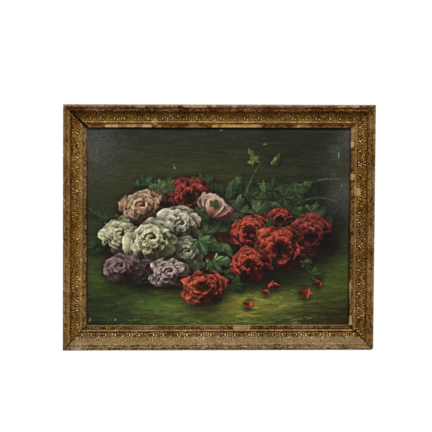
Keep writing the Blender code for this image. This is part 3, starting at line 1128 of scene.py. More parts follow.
@dataclass
class Frame:
    """The four gilt rails. Its mitres gape by a little outside and by more inside."""

    width: float = 0.710
    height: float = 0.562
    gaps: tuple[tuple[float, float], ...] = (
        (0.0004, 0.0009), (0.0014, 0.0022), (0.0012, 0.0020), (0.0002, 0.0066),
    )
    gilding: Gilding = Gilding()
    timber: Timber = Timber("frame timber", srgb(136, 96, 56), srgb(84, 54, 30), 0.55)

    def rails(self) -> list[Rail]:
        """The rails, clockwise from the top, each with its own losses.

        Returns:
            The four rails, not yet modelled.
        """
        top = (
            Loss(-190.6, -170.0, -1, 7.6, 0.45, 0.0, 1.0), Loss(-83.3, -30.0, -1, 7.0, 0.45, 0.0, 0.5),
            Loss(-19.0, -8.0, -1, 5.0, 0.45, 0.1, 0.6),
            Loss(26.4, 40.1, -1, 6.0, 0.45, 0.1, 0.8), Loss(266.2, 284.5, -1, 5.4, 0.45, 0.0, 0.7),
            Loss(300.5, 316.5, -1, 5.2, 0.45, 0.0, 0.7),
            Loss(-259.1, -154.1, 46.8, 55, 0.7, 0.25), Loss(-140.4, -132.5, 46.8, 55, 0.7, 0.8),
            Loss(-67.3, -44.4, 46.8, 55, 0.7, 0.9), Loss(-17.0, 97.2, 46.8, 55, 0.7, 0.85),
            Loss(177.0, 203.0, 46.8, 55, 0.7, 0.45), Loss(-151.8, -140.4, 32.0, 47.5, 1.0, 0.3, 1.0),
        )
        right = (
            Loss(-238.7, -227.3, -1, 5.0, 0.4, 0.3), Loss(-213.6, -206.7, -1, 5.0, 0.4, 0.4),
            Loss(-229.5, -181.6, 46.8, 55, 0.7, 0.25), Loss(-122.2, -108.5, 44.2, 55, 0.6, 0.4, 1.0),
            Loss(-98.0, -74.0, 41.0, 45.6, 0.5, 0.4, 1.0), Loss(-90.0, -72.5, 31.0, 43.5, 0.9, 0.3, 1.0),
            Loss(124.5, 165.6, 50.0, 55, 0.5, 0.5), Loss(204.4, 226.0, 46.8, 55, 0.7, 0.15),
        )
        bottom = (
            Loss(-73.9, -35.0, 44.4, 55, 0.8, 0.6), Loss(314.0, 329.0, 1.5, 6.5, 0.4, 0.1),
        )
        left = (
            Loss(270.0, 281.0, -1, 4.4, 0.3, 0.3), Loss(221.0, 226.0, -1, 4.4, 0.3, 0.5),
            Loss(241.0, 246.0, -1, 4.4, 0.3, 0.5),
        )
        top_right, bottom_right, bottom_left, top_left = self.gaps
        # Each rail's tones hold its wear and the painted light and shade for how light falls on its side.
        return [
            Rail("rail_top_gilded", 0, self.width, top_left, top_right, 0.0187, 0, top, WearAndShade(
                0.03, 0.26, 0.18, 0.24, 0.38, (0.4, 0.9), (0.08, 0.0, 0.34, 0.0), 0.20, 0.5,
                (0.55, 0.0, 0.0, 0.15))),
            Rail("rail_right_gilded", 1, self.height, top_right, bottom_right, 0.006, 1, right, WearAndShade(
                0.0, 0.32, 0.38, 0.32, 0.05, (0.95, 1.0), (-0.05, 0.0, 0.12, 0.4), 0.18, 0.8,
                (0.3, 0.0, 0.0, 0.35))),
            Rail("rail_bottom_gilded", 2, self.width, bottom_right, bottom_left, 0.0, -1, bottom, WearAndShade(
                -0.08, 0.31, 0.49, 0.38, 0.12, (0.72, 1.05), (0.0, 0.70, 0.5, 0.0), 0.30, 0.3,
                (0.8, 0.85, 0.35, 0.45))),
            Rail("rail_left_gilded", 3, self.height, bottom_left, top_left, 0.011, 0, left, WearAndShade(
                0.02, 0.35, 0.50, 0.35, 0.25, (0.85, 0.80), (0.0, -0.20, 0.12, 0.2), 0.12, 0.7,
                (0.25, 0.0, 0.05, 0.4))),
        ]

    def build(self, effects: Effects) -> list[Object]:
        """Makes the rails and sets them over the CAD ones.

        Args:
            effects: the shared node groups.

        Returns:
            The four pieces.
        """
        gilding, timber = self.gilding.make(effects), self.timber.make(effects)
        pieces = []
        for rail in self.rails():
            piece = add_piece(rail.name, rail.build(), [gilding, timber])
            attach(piece, "root")
            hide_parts(rail.name.removesuffix("_gilded"))
            logging.info("%s: %d faces", piece.name, len(piece.data.polygons))
            pieces.append(piece)
        return pieces


# ---- the painting ---------------------------------------------------------------------------

Petals = tuple[Array, Array, Array]
Spot = tuple[float, float]


def tint(red: float, green: float, blue: float) -> Array:
    """A colour of the palette, from its everyday 0 to 255 values, as parts of one."""
    return np.array((red, green, blue), float) / 255


def glaze(under: Array, part: Array, colour: Array) -> Array:
    """Lays a colour over another, by each point's part of it."""
    return under * (1 - part[..., None]) + colour * part[..., None]


def along_and_across(across: Array, up: Array, angle: float) -> tuple[Array, Array]:
    """Places as they lie along an angle, and to its left."""
    cosine, sine = cos(angle), sin(angle)
    return across * cosine + up * sine, -across * sine + up * cosine


def out_from(x: float, z: float, angle: float, far: float, squash: float = 1.0) -> Spot:
    """The place at a distance from another, where the squash foreshortens its height."""
    return x + cos(angle) * far, z + sin(angle) * far * squash


class Palette(Enum):
    """The painter's colours for each kind of petal: in shade, in light and at its brightest."""

    WINE = ((20, 4, 6), (80, 14, 16), (166, 72, 62))
    CRIMSON = ((26, 4, 5), (106, 18, 16), (198, 88, 66))
    SCARLET = ((50, 8, 6), (130, 28, 18), (200, 98, 70))
    CREAM = ((72, 72, 46), (166, 162, 120), (222, 218, 182))
    IVORY = ((78, 72, 56), (166, 158, 130), (216, 208, 184))
    BLUSH = ((104, 52, 40), (164, 116, 90), (204, 176, 142))
    PINK = ((96, 48, 44), (170, 118, 104), (208, 178, 158))
    MAUVE = ((46, 28, 32), (104, 74, 76), (156, 130, 126))
    LILAC = ((70, 48, 52), (142, 114, 112), (196, 176, 166))

    @property
    def colours(self) -> Petals:
        """The three colours, as parts of one."""
        deep, mid, pale = (tint(*colour) for colour in self.value)
        return deep, mid, pale


@dataclass
class Easel:
    """A grid of paint on which touches are laid one over another.

    Places are in metres from the picture's middle, x across and z up.
    """

    xs: Array
    zs: Array
    light: float = 2.25
    seed: int = 20
    hair_count: int = 1024

    def __post_init__(self) -> None:
        """Primes the grid and readies the brush."""
        self.colour = np.zeros((len(self.zs), len(self.xs), 3))
        self.body = np.zeros((len(self.zs), len(self.xs)))
        self.rng = np.random.default_rng(self.seed)
        self.hairs = np.random.default_rng(3).random(self.hair_count)

    def hair(self, place: Array) -> Array:
        """A soft random value along a line, as the hairs of a brush leave."""
        low = np.floor(place).astype(int)
        part = place - low
        part = part * part * (3 - 2 * part)
        near, far = low % self.hair_count, (low + 1) % self.hair_count
        return self.hairs[near] * (1 - part) + self.hairs[far] * part

    def chance(self, low: float, high: float) -> float:
        """A random number between two others."""
        return low + (high - low) * self.rng.random()

    def window(self, x: float, z: float, reach: float) -> tuple[tuple, Array, Array]:
        """The part of the grid about a place.

        Args:
            x, z: the place.
            reach: how far the window goes from it.

        Returns:
            The window's slices, and each point's x and z from the place.
        """
        left, right = np.searchsorted(self.xs, [x - reach, x + reach])
        low, high = np.searchsorted(self.zs, [z - reach, z + reach])
        across, up = np.meshgrid(self.xs[left:right] - x, self.zs[low:high] - z)
        return (slice(low, high), slice(left, right)), across, up

    def sample(self, x: float, z: float) -> Array:
        """The colour that stands at a place."""
        column = min(int(np.searchsorted(self.xs, x)), len(self.xs) - 1)
        row = min(int(np.searchsorted(self.zs, z)), len(self.zs) - 1)
        return self.colour[row, column].copy()

    def lay(self, where: tuple, cover: Array, colour: Array, body: Array | float) -> None:
        """Lays paint over a window, by how well it covers and how thickly it stands."""
        self.colour[where] = glaze(self.colour[where], cover, np.clip(colour, 0.0, 1.0))
        self.body[where] = self.body[where] * (1 - 0.7 * cover) + body * cover

    def dab(self, x: float, z: float, length: float, width: float, angle: float, colour: Array,
            cover: float = 0.8, bend: float = 0.0, streak: float = 0.12) -> None:
        """One touch of the brush.

        Args:
            x, z: its middle.
            length, width: its size.
            angle: which way it runs.
            colour: its colour.
            cover: how well it covers.
            bend: how much it curves.
            streak: how much the hairs' marks show.
        """
        where, across, up = self.window(x, z, length * 0.6 + width)
        a, b = along_and_across(across, up, angle)
        a = a / (length / 2)
        b = b / (width / 2) - bend * (a * a - 0.3)
        marks = self.hair(b * 4 + self.chance(0, 900))
        laid = rise(1.05, 0.5, a * a * (0.85 + 0.5 * marks) + b * b) * cover * (0.8 + 0.4 * marks)
        streaked = colour * (1 + streak * (2 * marks[..., None] - 1))
        self.lay(where, np.clip(laid, 0, 1), streaked, 0.4 + 0.5 * marks)

    def shade(self, x: float, z: float, length: float, width: float, angle: float, depth: float,
              colour: Array = tint(16, 16, 10)) -> None:
        """A soft dark patch, rubbed in.

        Args:
            x, z: its middle.
            length, width: its size.
            angle: which way it runs.
            depth: how dark it is.
            colour: its colour.
        """
        where, across, up = self.window(x, z, max(length, width) * 0.75)
        a, b = along_and_across(across, up, angle)
        part = rise(1.3, 0.1, np.hypot(a / (length / 2), b / (width / 2))) * depth
        self.colour[where] = glaze(self.colour[where], part, colour)


@dataclass(frozen=True)
class Leaf:
    """A leaf's base, its length, which way it points, how lit it is about 0, and its colour."""

    base: Spot
    size: float
    angle: float
    light: float
    green: Array


@dataclass
class Botanist:
    """Paints petals, leaves and whole flowers on an easel."""

    easel: Easel
    edge: float = 0.0010

    def petal(self, x: float, z: float, length: float, spread: float, angle: float, colours: Petals,
              lit: float, frill: float = 0.16, squash: float = 1.0, tilt: float = 0.0, crease: float = 0.26,
              cast: float = 0.42) -> None:
        """A petal that fans out from its base, ruffled at its rim.

        Args:
            x, z: its base.
            length: how long it is.
            spread: half the angle that it fills.
            angle: which way it points.
            colours: in shade, in light and brightest.
            lit: how much light falls on it, from 0 to 1.
            frill: how ruffled its rim is.
            squash, tilt: how the flower is foreshortened, and along which line.
            crease: how strong its folds are.
            cast: how dark its shadow on what lies under it is.
        """
        easel, (deep, mid, pale) = self.easel, colours
        chance, hair = easel.chance, easel.hair
        easel.shade(*out_from(x + 0.0016, z - 0.0024, angle, length * 0.55, squash), length * 1.25,
                    length * sin(min(spread, 1.3)) * 2.1, angle, cast, tint(13, 10, 8))
        where, across, up = easel.window(x, z, length * 1.3)
        px, pz = along_and_across(across, up, tilt)
        pz, own = pz / squash, angle - tilt
        turn = (np.arctan2(pz, px) - own + pi) % tau - pi
        far, side, seed = np.hypot(px, pz), turn / spread, chance(0, 900)
        ruffle = 1.5 * (hair(side * 2.2 + seed) - 0.5) + 0.5 * (hair(side * 6.0 + seed + 40) - 0.5)
        reach = length * np.clip(1 - np.abs(side) ** 2.4, 0, 1) ** 0.5 * (1 + frill * ruffle)
        cover = rise(-self.edge, self.edge, reach - far) * (np.abs(side) < 1) * 0.97
        part = np.clip(far / (reach + 1e-5), 0, 1)
        fine = hair(side * 8 + 0.9 * part + seed + 80)
        fold = hair(side * 2.6 + 0.5 * part + seed + 120)
        glow = np.clip(lit + 0.55 * (fold - 0.5) + 0.25 * side * sin(easel.light - angle), 0, 1)
        colour = glaze(deep, rise(0.02, 0.55, part) * (0.25 + 0.75 * glow), mid)
        high = rise(0.45, 0.95, part) * rise(0.25, 0.9, glow) * (0.35 + 0.75 * fine)
        folds = 1 + crease * (0.9 * (fine - 0.5) + 1.4 * (fold - 0.5))
        colour = glaze(colour, high, pale) * folds[..., None]
        lip = rise(0.0022, 0.0004, reach - far) * rise(0.3, 0.8, glow) * 0.5
        colour = glaze(colour, lip, pale * 1.08) * (1 - 0.32 * rise(0.30, 0.0, part))[..., None]
        easel.lay(where, cover, colour, 0.3 + 0.6 * fine)
        if lit < 0.42 or length < 0.012:
            return
        for place in (-0.45, 0.1, 0.5):
            if easel.rng.random() > 0.7:
                continue
            qx, qz = along_and_across(*out_from(0, 0, own + place * spread, length * 0.86, squash), -tilt)
            easel.dab(x + qx, z + qz, length * spread * 0.75, length * 0.13,
                      atan2(qz, qx) + pi / 2 + chance(-0.25, 0.25), pale * chance(0.94, 1.06),
                      0.35 + 0.35 * lit, bend=0.5)

    def lobed_leaf(self, leaf: Leaf) -> None:
        """A lobed leaf, as a vine's.

        Args:
            leaf: where it is and how it looks.
        """
        easel, (x, z), size, angle = self.easel, leaf.base, leaf.size, leaf.angle
        hair = easel.hair
        easel.shade(*out_from(x + 0.003, z - 0.004, angle, size * 0.4), size * 1.5, size * 1.5, angle, 0.45)
        where, across, up = easel.window(x, z, size * 1.2)
        turn = (np.arctan2(up, across) - angle + pi) % tau - pi
        far, side, seed = np.hypot(across, up), turn / 2.3, easel.chance(0, 900)
        lobes = np.abs(np.cos(side * tau)) ** 0.6
        teeth = hair(side * 22 + seed)
        reach = size * (0.44 + 0.50 * lobes) * (0.78 + 0.34 * teeth)
        reach = reach * np.clip(1.02 - 0.45 * np.abs(side), 0, 1)
        cover = rise(-0.0012, 0.0012, reach - far) * (np.abs(side) < 1) * 0.96
        part = np.clip(far / (reach + 1e-5), 0, 1)
        mottle = hair(side * 13 + part * 2.2 + seed + 30)
        glow = 0.42 + 0.5 * leaf.light + 0.5 * (hair(side * 4 + seed + 60) - 0.5) + 0.35 * (mottle - 0.5)
        vein = np.exp(-(((lobes - 1) / 0.06) ** 2)) * rise(0.03, 0.2, part) * rise(0.95, 0.6, part)
        self.lay_green(where, cover, glow + 0.18 * np.cos(turn + angle - easel.light), vein, leaf)

    def plain_leaf(self, leaf: Leaf, wide: float, curl: float) -> None:
        """A toothed leaf with a midrib.

        Args:
            leaf: where it is and how it looks.
            wide: its width as a part of its length.
            curl: how much it bends sideways.
        """
        easel, size, angle = self.easel, leaf.size, leaf.angle
        middle = out_from(*leaf.base, angle, size / 2)
        easel.shade(middle[0] + 0.003, middle[1] - 0.004, size * 1.15, size * wide * 1.3, angle, 0.5)
        where, across, up = easel.window(*middle, size * 0.75)
        a, b = along_and_across(across, up, angle)
        a = a / size + 0.5
        b = b / (size * wide / 2) - curl * (a - 0.5) ** 2 * 4
        seed, inner = easel.chance(0, 900), np.clip(a, 0.001, 0.999)
        teeth = easel.hair(inner * 9 + seed + (b > 0) * 50)
        border = np.sin(np.pi * inner**0.75) ** 0.8 * (0.80 + 0.32 * teeth)
        cover = rise(-0.06, 0.06, border - np.abs(b)) * ((a > 0) & (a < 1)) * 0.96
        ribs = easel.hair(a * 9.6 - np.abs(b) * 1.9 + seed + 70 + (b > 0) * 33)
        half = np.clip(b * 2.4, -1, 1) * sin(easel.light - angle)
        rib = np.exp(-((b / 0.10) ** 2)) * rise(0.02, 0.2, a) * rise(1.0, 0.7, a)
        glow = 0.46 + 0.30 * half + 0.42 * (ribs - 0.5) + 0.5 * leaf.light
        self.lay_green(where, cover, glow, rib, leaf)

    def lay_green(self, where: tuple, cover: Array, glow: Array, vein: Array, leaf: Leaf) -> None:
        """Lays a leaf's paint, from its darks to its lights and veins.

        Args:
            where: the window's slices.
            cover: the leaf's shape.
            glow: how lit each point is.
            vein: where the veins are.
            leaf: the leaf.
        """
        green, veins = leaf.green, 0.7 + 0.3 * leaf.light
        dark, pale = green * 0.34 + tint(6, 12, 6), green * 1.25 + tint(38, 38, 20)
        colour = glaze(dark, np.clip(glow, 0, 1), green)
        colour = glaze(colour, rise(0.62, 1.08, glow) * 0.8, pale)
        self.easel.lay(where, cover, glaze(colour, 0.5 * vein, pale * veins), 0.5)

    def stem(self, start: Spot, end: Spot, sag: float, width: float, colour: Array) -> None:
        """A thin stem between two places.

        Args:
            start, end: its ends.
            sag: how far its middle stands above the straight line.
            width: its width.
            colour: its colour.
        """
        steps = max(6, int(dist(start, end) / 0.008))
        course = [(start[0] + (end[0] - start[0]) * k / steps,
                   start[1] + (end[1] - start[1]) * k / steps + sag * 4 * (k / steps) * (1 - k / steps))
                  for k in range(steps + 1)]
        for (x0, z0), (x1, z1) in zip(course, course[1:]):
            self.easel.dab((x0 + x1) / 2, (z0 + z1) / 2, hypot(x1 - x0, z1 - z0) * 1.8, width,
                           atan2(z1 - z0, x1 - x0), colour * self.easel.chance(0.75, 1.25), 0.9)

    def double_bloom(self, x: float, z: float, radius: float, palette: Palette, tilt: float, squash: float,
                     gaze: Spot, heart: Array | None = None) -> None:
        """A full double flower, its heart turned a little from the viewer.

        Args:
            x, z: its middle.
            radius: its size.
            palette: its colours.
            tilt, squash: how it is foreshortened.
            gaze: where its heart is, as parts of its radius.
            heart: the colour of its stamens, or none where petals fill it.
        """
        easel, (deep, mid, pale) = self.easel, palette.colours
        chance = easel.chance
        easel.shade(x + radius * 0.22, z - radius * 0.30, radius * 2.7, radius * 2.4, 0, 0.62)
        rings = ((6, 1.0, 0.78), (6, 0.82, 0.74), (5, 0.62, 0.80), (5, 0.42, 0.9))
        start = chance(0, tau)
        for number, (count, size, spread) in enumerate(rings):
            top = start + 0.4 * number
            cx, cz = (at + turn * radius * number / len(rings) for at, turn in zip((x, z), gaze))
            for k in sorted(range(count), key=lambda k: -sin(top + tau * k / count)):
                a = start + tau * (k + 0.5 * (number % 2)) / count + chance(-0.25, 0.25)
                face = 0.5 + 0.5 * cos(a - easel.light)
                lit = min(max(0.18 + 0.62 * face + 0.10 * number + chance(-0.14, 0.14), 0), 1)
                dim = 0.80 + 0.20 * face
                self.petal(*out_from(cx, cz, a, radius * 0.10 * size, squash),
                           radius * size * chance(0.86, 1.14), spread * chance(0.8, 1.2), a,
                           (deep * dim, mid * dim * chance(0.9, 1.1), pale * (0.86 + 0.14 * face)), lit,
                           squash=squash, tilt=tilt)
        cx, cz = x + gaze[0] * radius, z + gaze[1] * radius
        if heart is None:
            self.curled_heart(cx, cz, radius, squash, (deep, mid, pale))
        else:
            easel.shade(cx, cz, radius * 0.62, radius * 0.50, 0, 0.85, heart * 0.35)
            self.stamens(cx, cz, radius * 0.22, squash, heart)
        for count, way, colour, cover in ((16, 0.0, pale, 0.55), (17, pi, deep * 0.7, 0.6)):
            for _ in range(count):
                a, far = easel.light + way + chance(-1.5, 1.5), radius * chance(0.4, 0.92)
                easel.dab(*out_from(x, z, a, far, squash), radius * 0.25, radius * 0.052,
                          a + chance(-0.6, 0.6) + (1.2 if way == 0 else 0), colour * chance(0.9, 1.1),
                          cover, bend=0.5)

    def curled_heart(self, x: float, z: float, radius: float, squash: float, colours: Petals) -> None:
        """Small curled petals that fill a flower's heart.

        Args:
            x, z: its middle.
            radius: the flower's size.
            squash: how the flower is foreshortened.
            colours: in shade, in light and brightest.
        """
        deep, mid, pale = colours
        for k in range(11):
            a, far = k * 2.4, radius * 0.26 * sqrt((k + 0.5) / 11)
            colour = (deep * 0.75, mid * self.easel.chance(0.85, 1.15), pale * 0.95)[k % 3]
            place = out_from(x, z, a, far, squash)
            self.easel.dab(*place, radius * 0.30, radius * 0.11, a + 1.4, colour, 0.85, bend=0.7)

    def stamens(self, x: float, z: float, radius: float, squash: float, colour: Array) -> None:
        """Small dots in a flower's heart.

        Args:
            x, z: its middle.
            radius: how far they spread.
            squash: how the flower is foreshortened.
            colour: their colour.
        """
        for _ in range(16):
            a, far = self.easel.chance(0, tau), radius * sqrt(self.easel.rng.random())
            self.easel.dab(*out_from(x, z, a, far, squash), radius * 0.6, radius * 0.28, a,
                           colour * self.easel.chance(0.4, 1.5), 0.85)

    def cupped_bloom(self, x: float, z: float, radius: float, angle: float, palette: Palette) -> None:
        """A half-open flower seen from its side.

        Args:
            x, z: its base.
            radius: its size.
            angle: which way it opens.
            palette: its colours.
        """
        easel, petals, (deep, mid, pale) = self.easel, 6, palette.colours
        shadow = out_from(x + radius * 0.15, z - radius * 0.2, angle, radius * 0.6)
        easel.shade(*shadow, radius * 2.3, radius * 2.0, angle, 0.6)
        for k in range(petals):
            step = (1 - k / petals) * (1 if k % 2 else -1)
            a, middle = angle + step * 0.85, 1 - abs(step)
            lit = 0.35 + 0.4 * cos(a - easel.light) + 0.35 * middle * easel.rng.random()
            length = radius * (1.30 - 0.10 * middle) * easel.chance(0.9, 1.1)
            colours = deep, mid * easel.chance(0.9, 1.1), pale
            self.petal(x, z, length, 0.62 * (0.8 + 0.5 * middle), a, colours, min(max(lit, 0), 1), 0.20,
                       crease=0.20)

    def thicket(self, spots: tuple, size: float, spread: float, green: Array, light: float) -> None:
        """Clusters of mixed leaves.

        Args:
            spots: for each cluster, its middle, its number of leaves and its heading.
            size: the leaves' length.
            spread: how far they stray from the heading.
            green: their colour.
            light: how lit they are.
        """
        easel = self.easel
        chance = easel.chance
        for (x, z), count, heading in spots:
            for _ in range(count):
                place = x + chance(-0.030, 0.030), z + chance(-0.020, 0.020)
                a = heading + chance(-0.5, 0.5) * spread
                colour = green * chance(0.78, 1.22) + tint(12, 5, -2) * chance(-0.4, 0.6)
                if easel.rng.random() < 0.55:
                    long, lit = size * 0.62 * chance(0.7, 1.3), light + chance(-0.3, 0.3)
                    self.lobed_leaf(Leaf(place, long, a, lit, colour))
                else:
                    long, lit = size * 0.9 * chance(0.7, 1.3), light + chance(-0.25, 0.25)
                    self.plain_leaf(Leaf(place, long, a, lit, colour), chance(0.4, 0.6), chance(-0.6, 0.6))


@dataclass
class FlowerPiece:
    """The whole composition: a dark bowl of mixed flowers on a mossy bank."""

    easel: Easel
    width: float
    height: float
    strokes: int = 1500
    tufts: int = 640
    touches: int = 3200

    def __post_init__(self) -> None:
        """Takes on the painter of its flowers and leaves."""
        self.botanist = Botanist(self.easel)

    def at(self, across: float, up: float) -> Spot:
        """A place from its parts of the picture's width and height."""
        return (across - 0.5) * self.width, (up - 0.5) * self.height

    def paint(self) -> None:
        """Paints the picture from its ground to its last touches."""
        self.lay_in()
        self.scrub()
        self.foliage()
        self.bowl(*self.at(0.535, 0.345), 0.095)
        self.left_flowers()
        self.right_flowers()
        self.fallen()
        self.soften()
        self.crispen()
        self.age()

    def lay_in(self) -> None:
        """The broad areas of background and bank."""
        across, up = np.meshgrid(self.easel.xs / self.width + 0.5, self.easel.zs / self.height + 0.5)
        air = glaze(tint(52, 55, 36), rise(0.30, 0.95, across), tint(34, 38, 26))
        warm = np.exp(-(((up - 0.66) / 0.20) ** 2)) * rise(0.02, 0.25, across)
        air = glaze(air, 0.65 * warm * rise(0.95, 0.45, across), tint(62, 62, 30))
        air = glaze(air, 0.70 * rise(0.74, 1.0, up), tint(36, 39, 30))
        air = glaze(air, 0.7 * rise(0.88, 1.0, across), tint(60, 61, 42))
        glow = np.exp(-(((across - 0.56) / 0.24) ** 2) - ((up - 0.12) / 0.10) ** 2)
        bank = glaze(tint(64, 76, 30), glow, tint(140, 134, 54))
        lush = np.exp(-(((across - 0.30) / 0.12) ** 2) - ((up - 0.10) / 0.05) ** 2)
        bank = glaze(bank, 0.8 * lush, tint(78, 106, 44))
        bank = glaze(bank, 0.85 * rise(0.34, 0.05, across) * rise(0.30, 0.05, up), tint(36, 44, 28))
        bank = glaze(bank, 0.9 * rise(0.66, 0.98, across) * rise(0.22, 0.03, up), tint(40, 30, 16))
        horizon = up + 0.025 * np.sin(across * 9) - 0.05 * across
        self.easel.colour[:] = glaze(air, rise(0.40, 0.24, horizon), bank)

    def scrub(self) -> None:
        """Loose brushwork over the background, and moss on the bank."""
        easel = self.easel
        chance = easel.chance
        for _ in range(self.strokes):
            x, z = self.at(easel.rng.random(), easel.rng.random())
            swing = 0.20 if z < -0.10 else 0.13
            colour = easel.sample(x, z) * chance(1 - swing, 1 + swing) + tint(6, 5, 4) * chance(-0.5, 0.5)
            easel.dab(x, z, chance(0.035, 0.095), chance(0.004, 0.012), chance(-0.13, 0.13), colour,
                      0.45, streak=0.10)
        mosses = tint(44, 62, 34), tint(84, 106, 44), tint(30, 36, 22), tint(150, 138, 78), tint(66, 84, 36)
        for tuft in range(self.tufts):
            x, z = self.at(easel.rng.random(), 0.32 * easel.rng.random() ** 1.2)
            moss = mosses[tuft % 5] if abs(x) < 0.22 else easel.sample(x, z) * (1.3, 0.65)[tuft % 2]
            easel.dab(x, z, chance(0.012, 0.044), chance(0.003, 0.008), chance(-0.28, 0.28),
                      0.45 * easel.sample(x, z) + 0.55 * moss, 0.5, streak=0.15)

    def foliage(self) -> None:
        """The dark mass behind the flowers, and the leaves about it."""
        masses = ((0.27, 0.48, 0.26, 0.22), (0.47, 0.50, 0.26, 0.20), (0.68, 0.50, 0.30, 0.20),
                  (0.80, 0.46, 0.22, 0.18), (0.33, 0.32, 0.26, 0.14))
        for across, up, length, width in masses:
            self.easel.shade(*self.at(across, up), length, width, 0.0, 0.75, tint(22, 24, 13))
        at, thicket = self.at, self.botanist.thicket
        thicket(((at(0.87, 0.42), 5, -0.6), (at(0.90, 0.52), 5, -0.1), (at(0.86, 0.62), 4, 0.6)), 0.055, 1.2,
                tint(38, 54, 36), -0.3)
        thicket(((at(0.66, 0.64), 8, 1.0), (at(0.77, 0.63), 8, 0.4), (at(0.82, 0.56), 6, -0.2),
                 (at(0.56, 0.62), 7, 1.6)), 0.062, 1.8, tint(66, 88, 56), 0.05)
        thicket(((at(0.13, 0.52), 4, 2.6), (at(0.25, 0.68), 5, 1.9), (at(0.10, 0.38), 4, 3.0)), 0.050, 1.2,
                tint(50, 68, 46), 0.0)
        thicket(((at(0.47, 0.66), 5, 1.7), (at(0.53, 0.55), 7, 0.6), (at(0.66, 0.56), 5, 0.4),
                 (at(0.44, 0.46), 5, -0.2)), 0.055, 2.2, tint(88, 110, 76), 0.15)
        self.botanist.stem(at(0.76, 0.66), at(0.955, 0.74), 0.012, 0.0026, tint(74, 70, 46))
        self.botanist.stem(at(0.80, 0.62), at(0.975, 0.60), 0.016, 0.0024, tint(70, 66, 44))
        self.botanist.stem(at(0.60, 0.66), at(0.66, 0.83), 0.006, 0.0026, tint(72, 84, 46))
        thicket(((at(0.655, 0.80), 3, 1.5),), 0.030, 1.6, tint(84, 102, 54), 0.1)

    def bowl(self, x: float, z: float, radius: float) -> None:
        """A low dark bowl of woven cane.

        Args:
            x, z: its middle.
            radius: its half width.
        """
        easel = self.easel
        where, across, up = easel.window(x, z, radius * 1.35)
        easel.shade(x + 0.035, z - radius * 0.52, radius * 3.6, radius * 0.8, 0, 0.85, tint(13, 13, 8))
        u, v = across / radius, up / (radius * 0.62)
        shape = 1 - np.abs(u) ** 2.6 - np.clip(-v, 0, 2) ** 2.4
        weave = 0.5 + 0.5 * np.cos(v * 19 + 0.6 * np.sin(u * 9))
        weave = weave * (0.5 + 0.5 * np.cos(u * 38 + 1.5 * np.sin(v * 9.5)))
        dim = (1 - 0.6 * rise(-0.3, 0.95, u)) * (1 - 0.5 * rise(0.1, -0.9, v)) * (0.72 + 0.42 * weave)
        glint = 0.5 * np.exp(-(((u + 0.50) / 0.16) ** 2) - ((v - 0.05) / 0.34) ** 2) * (0.5 + 0.6 * weave)
        colour = tint(62, 35, 23) * dim[..., None] + tint(92, 64, 42) * glint[..., None]
        easel.lay(where, rise(-0.05, 0.05, shape) * rise(1.05, 0.95, v), colour, 0.4)

    def left_flowers(self) -> None:
        """The pale flowers, with a dark one above them and mauve ones below."""
        at, leaves, bloom = self.at, self.botanist.thicket, self.botanist.double_bloom
        bloom(*at(0.385, 0.655), 0.052, Palette.WINE, -0.2, 0.86, (0.05, -0.05), tint(36, 20, 20))
        self.botanist.cupped_bloom(*at(0.470, 0.540), 0.046, 1.15, Palette.PINK)
        leaves(((at(0.29, 0.66), 3, 1.4), (at(0.47, 0.56), 3, 0.4)), 0.045, 1.6, tint(82, 104, 70), 0.2)
        bloom(*at(0.215, 0.590), 0.052, Palette.BLUSH, 0.3, 0.80, (-0.05, 0.15))
        bloom(*at(0.350, 0.505), 0.049, Palette.IVORY, 0.1, 0.82, (0.1, 0.1))
        bloom(*at(0.142, 0.445), 0.048, Palette.CREAM, -0.4, 0.84, (-0.1, 0.15))
        bloom(*at(0.375, 0.370), 0.046, Palette.IVORY, -0.3, 0.78, (0.1, 0.05))
        bloom(*at(0.250, 0.420), 0.061, Palette.CREAM, 0.2, 0.80, (0.0, 0.18))
        leaves(((at(0.46, 0.44), 6, -0.3), (at(0.45, 0.33), 4, -1.0)), 0.050, 1.6, tint(86, 110, 72), 0.25)
        bloom(*at(0.215, 0.270), 0.040, Palette.MAUVE, 0.0, 0.66, (0.0, -0.1), tint(48, 34, 34))
        bloom(*at(0.138, 0.290), 0.045, Palette.MAUVE, 0.2, 0.70, (-0.1, 0.1))
        bloom(*at(0.310, 0.265), 0.045, Palette.LILAC, 0.2, 0.72, (0.1, 0.1))

    def right_flowers(self) -> None:
        """The red flowers."""
        at, leaves, bloom = self.at, self.botanist.thicket, self.botanist.double_bloom
        bloom(*at(0.730, 0.530), 0.036, Palette.WINE, 0.2, 0.80, (0.0, 0.1), tint(30, 14, 16))
        bloom(*at(0.620, 0.475), 0.046, Palette.CRIMSON, 0.0, 0.80, (-0.1, 0.1), tint(44, 24, 18))
        leaves(((at(0.69, 0.50), 3, 1.0), (at(0.79, 0.52), 3, 0.8)), 0.036, 1.2, tint(70, 92, 58), 0.0)
        bloom(*at(0.835, 0.450), 0.057, Palette.WINE, 0.6, 0.85, (0.12, -0.02), tint(26, 12, 14))
        bloom(*at(0.735, 0.385), 0.064, Palette.CRIMSON, 0.1, 0.84, (0.0, 0.08), tint(38, 18, 16))
        bloom(*at(0.625, 0.310), 0.047, Palette.CRIMSON, -0.3, 0.76, (-0.1, 0.05), tint(52, 22, 14))
        leaves(((at(0.86, 0.30), 3, -0.5), (at(0.56, 0.24), 3, -0.4)), 0.040, 1.2, tint(58, 78, 42), 0.0)
        bloom(*at(0.445, 0.190), 0.052, Palette.SCARLET, 0.05, 0.74, (-0.05, 0.1), tint(56, 26, 16))

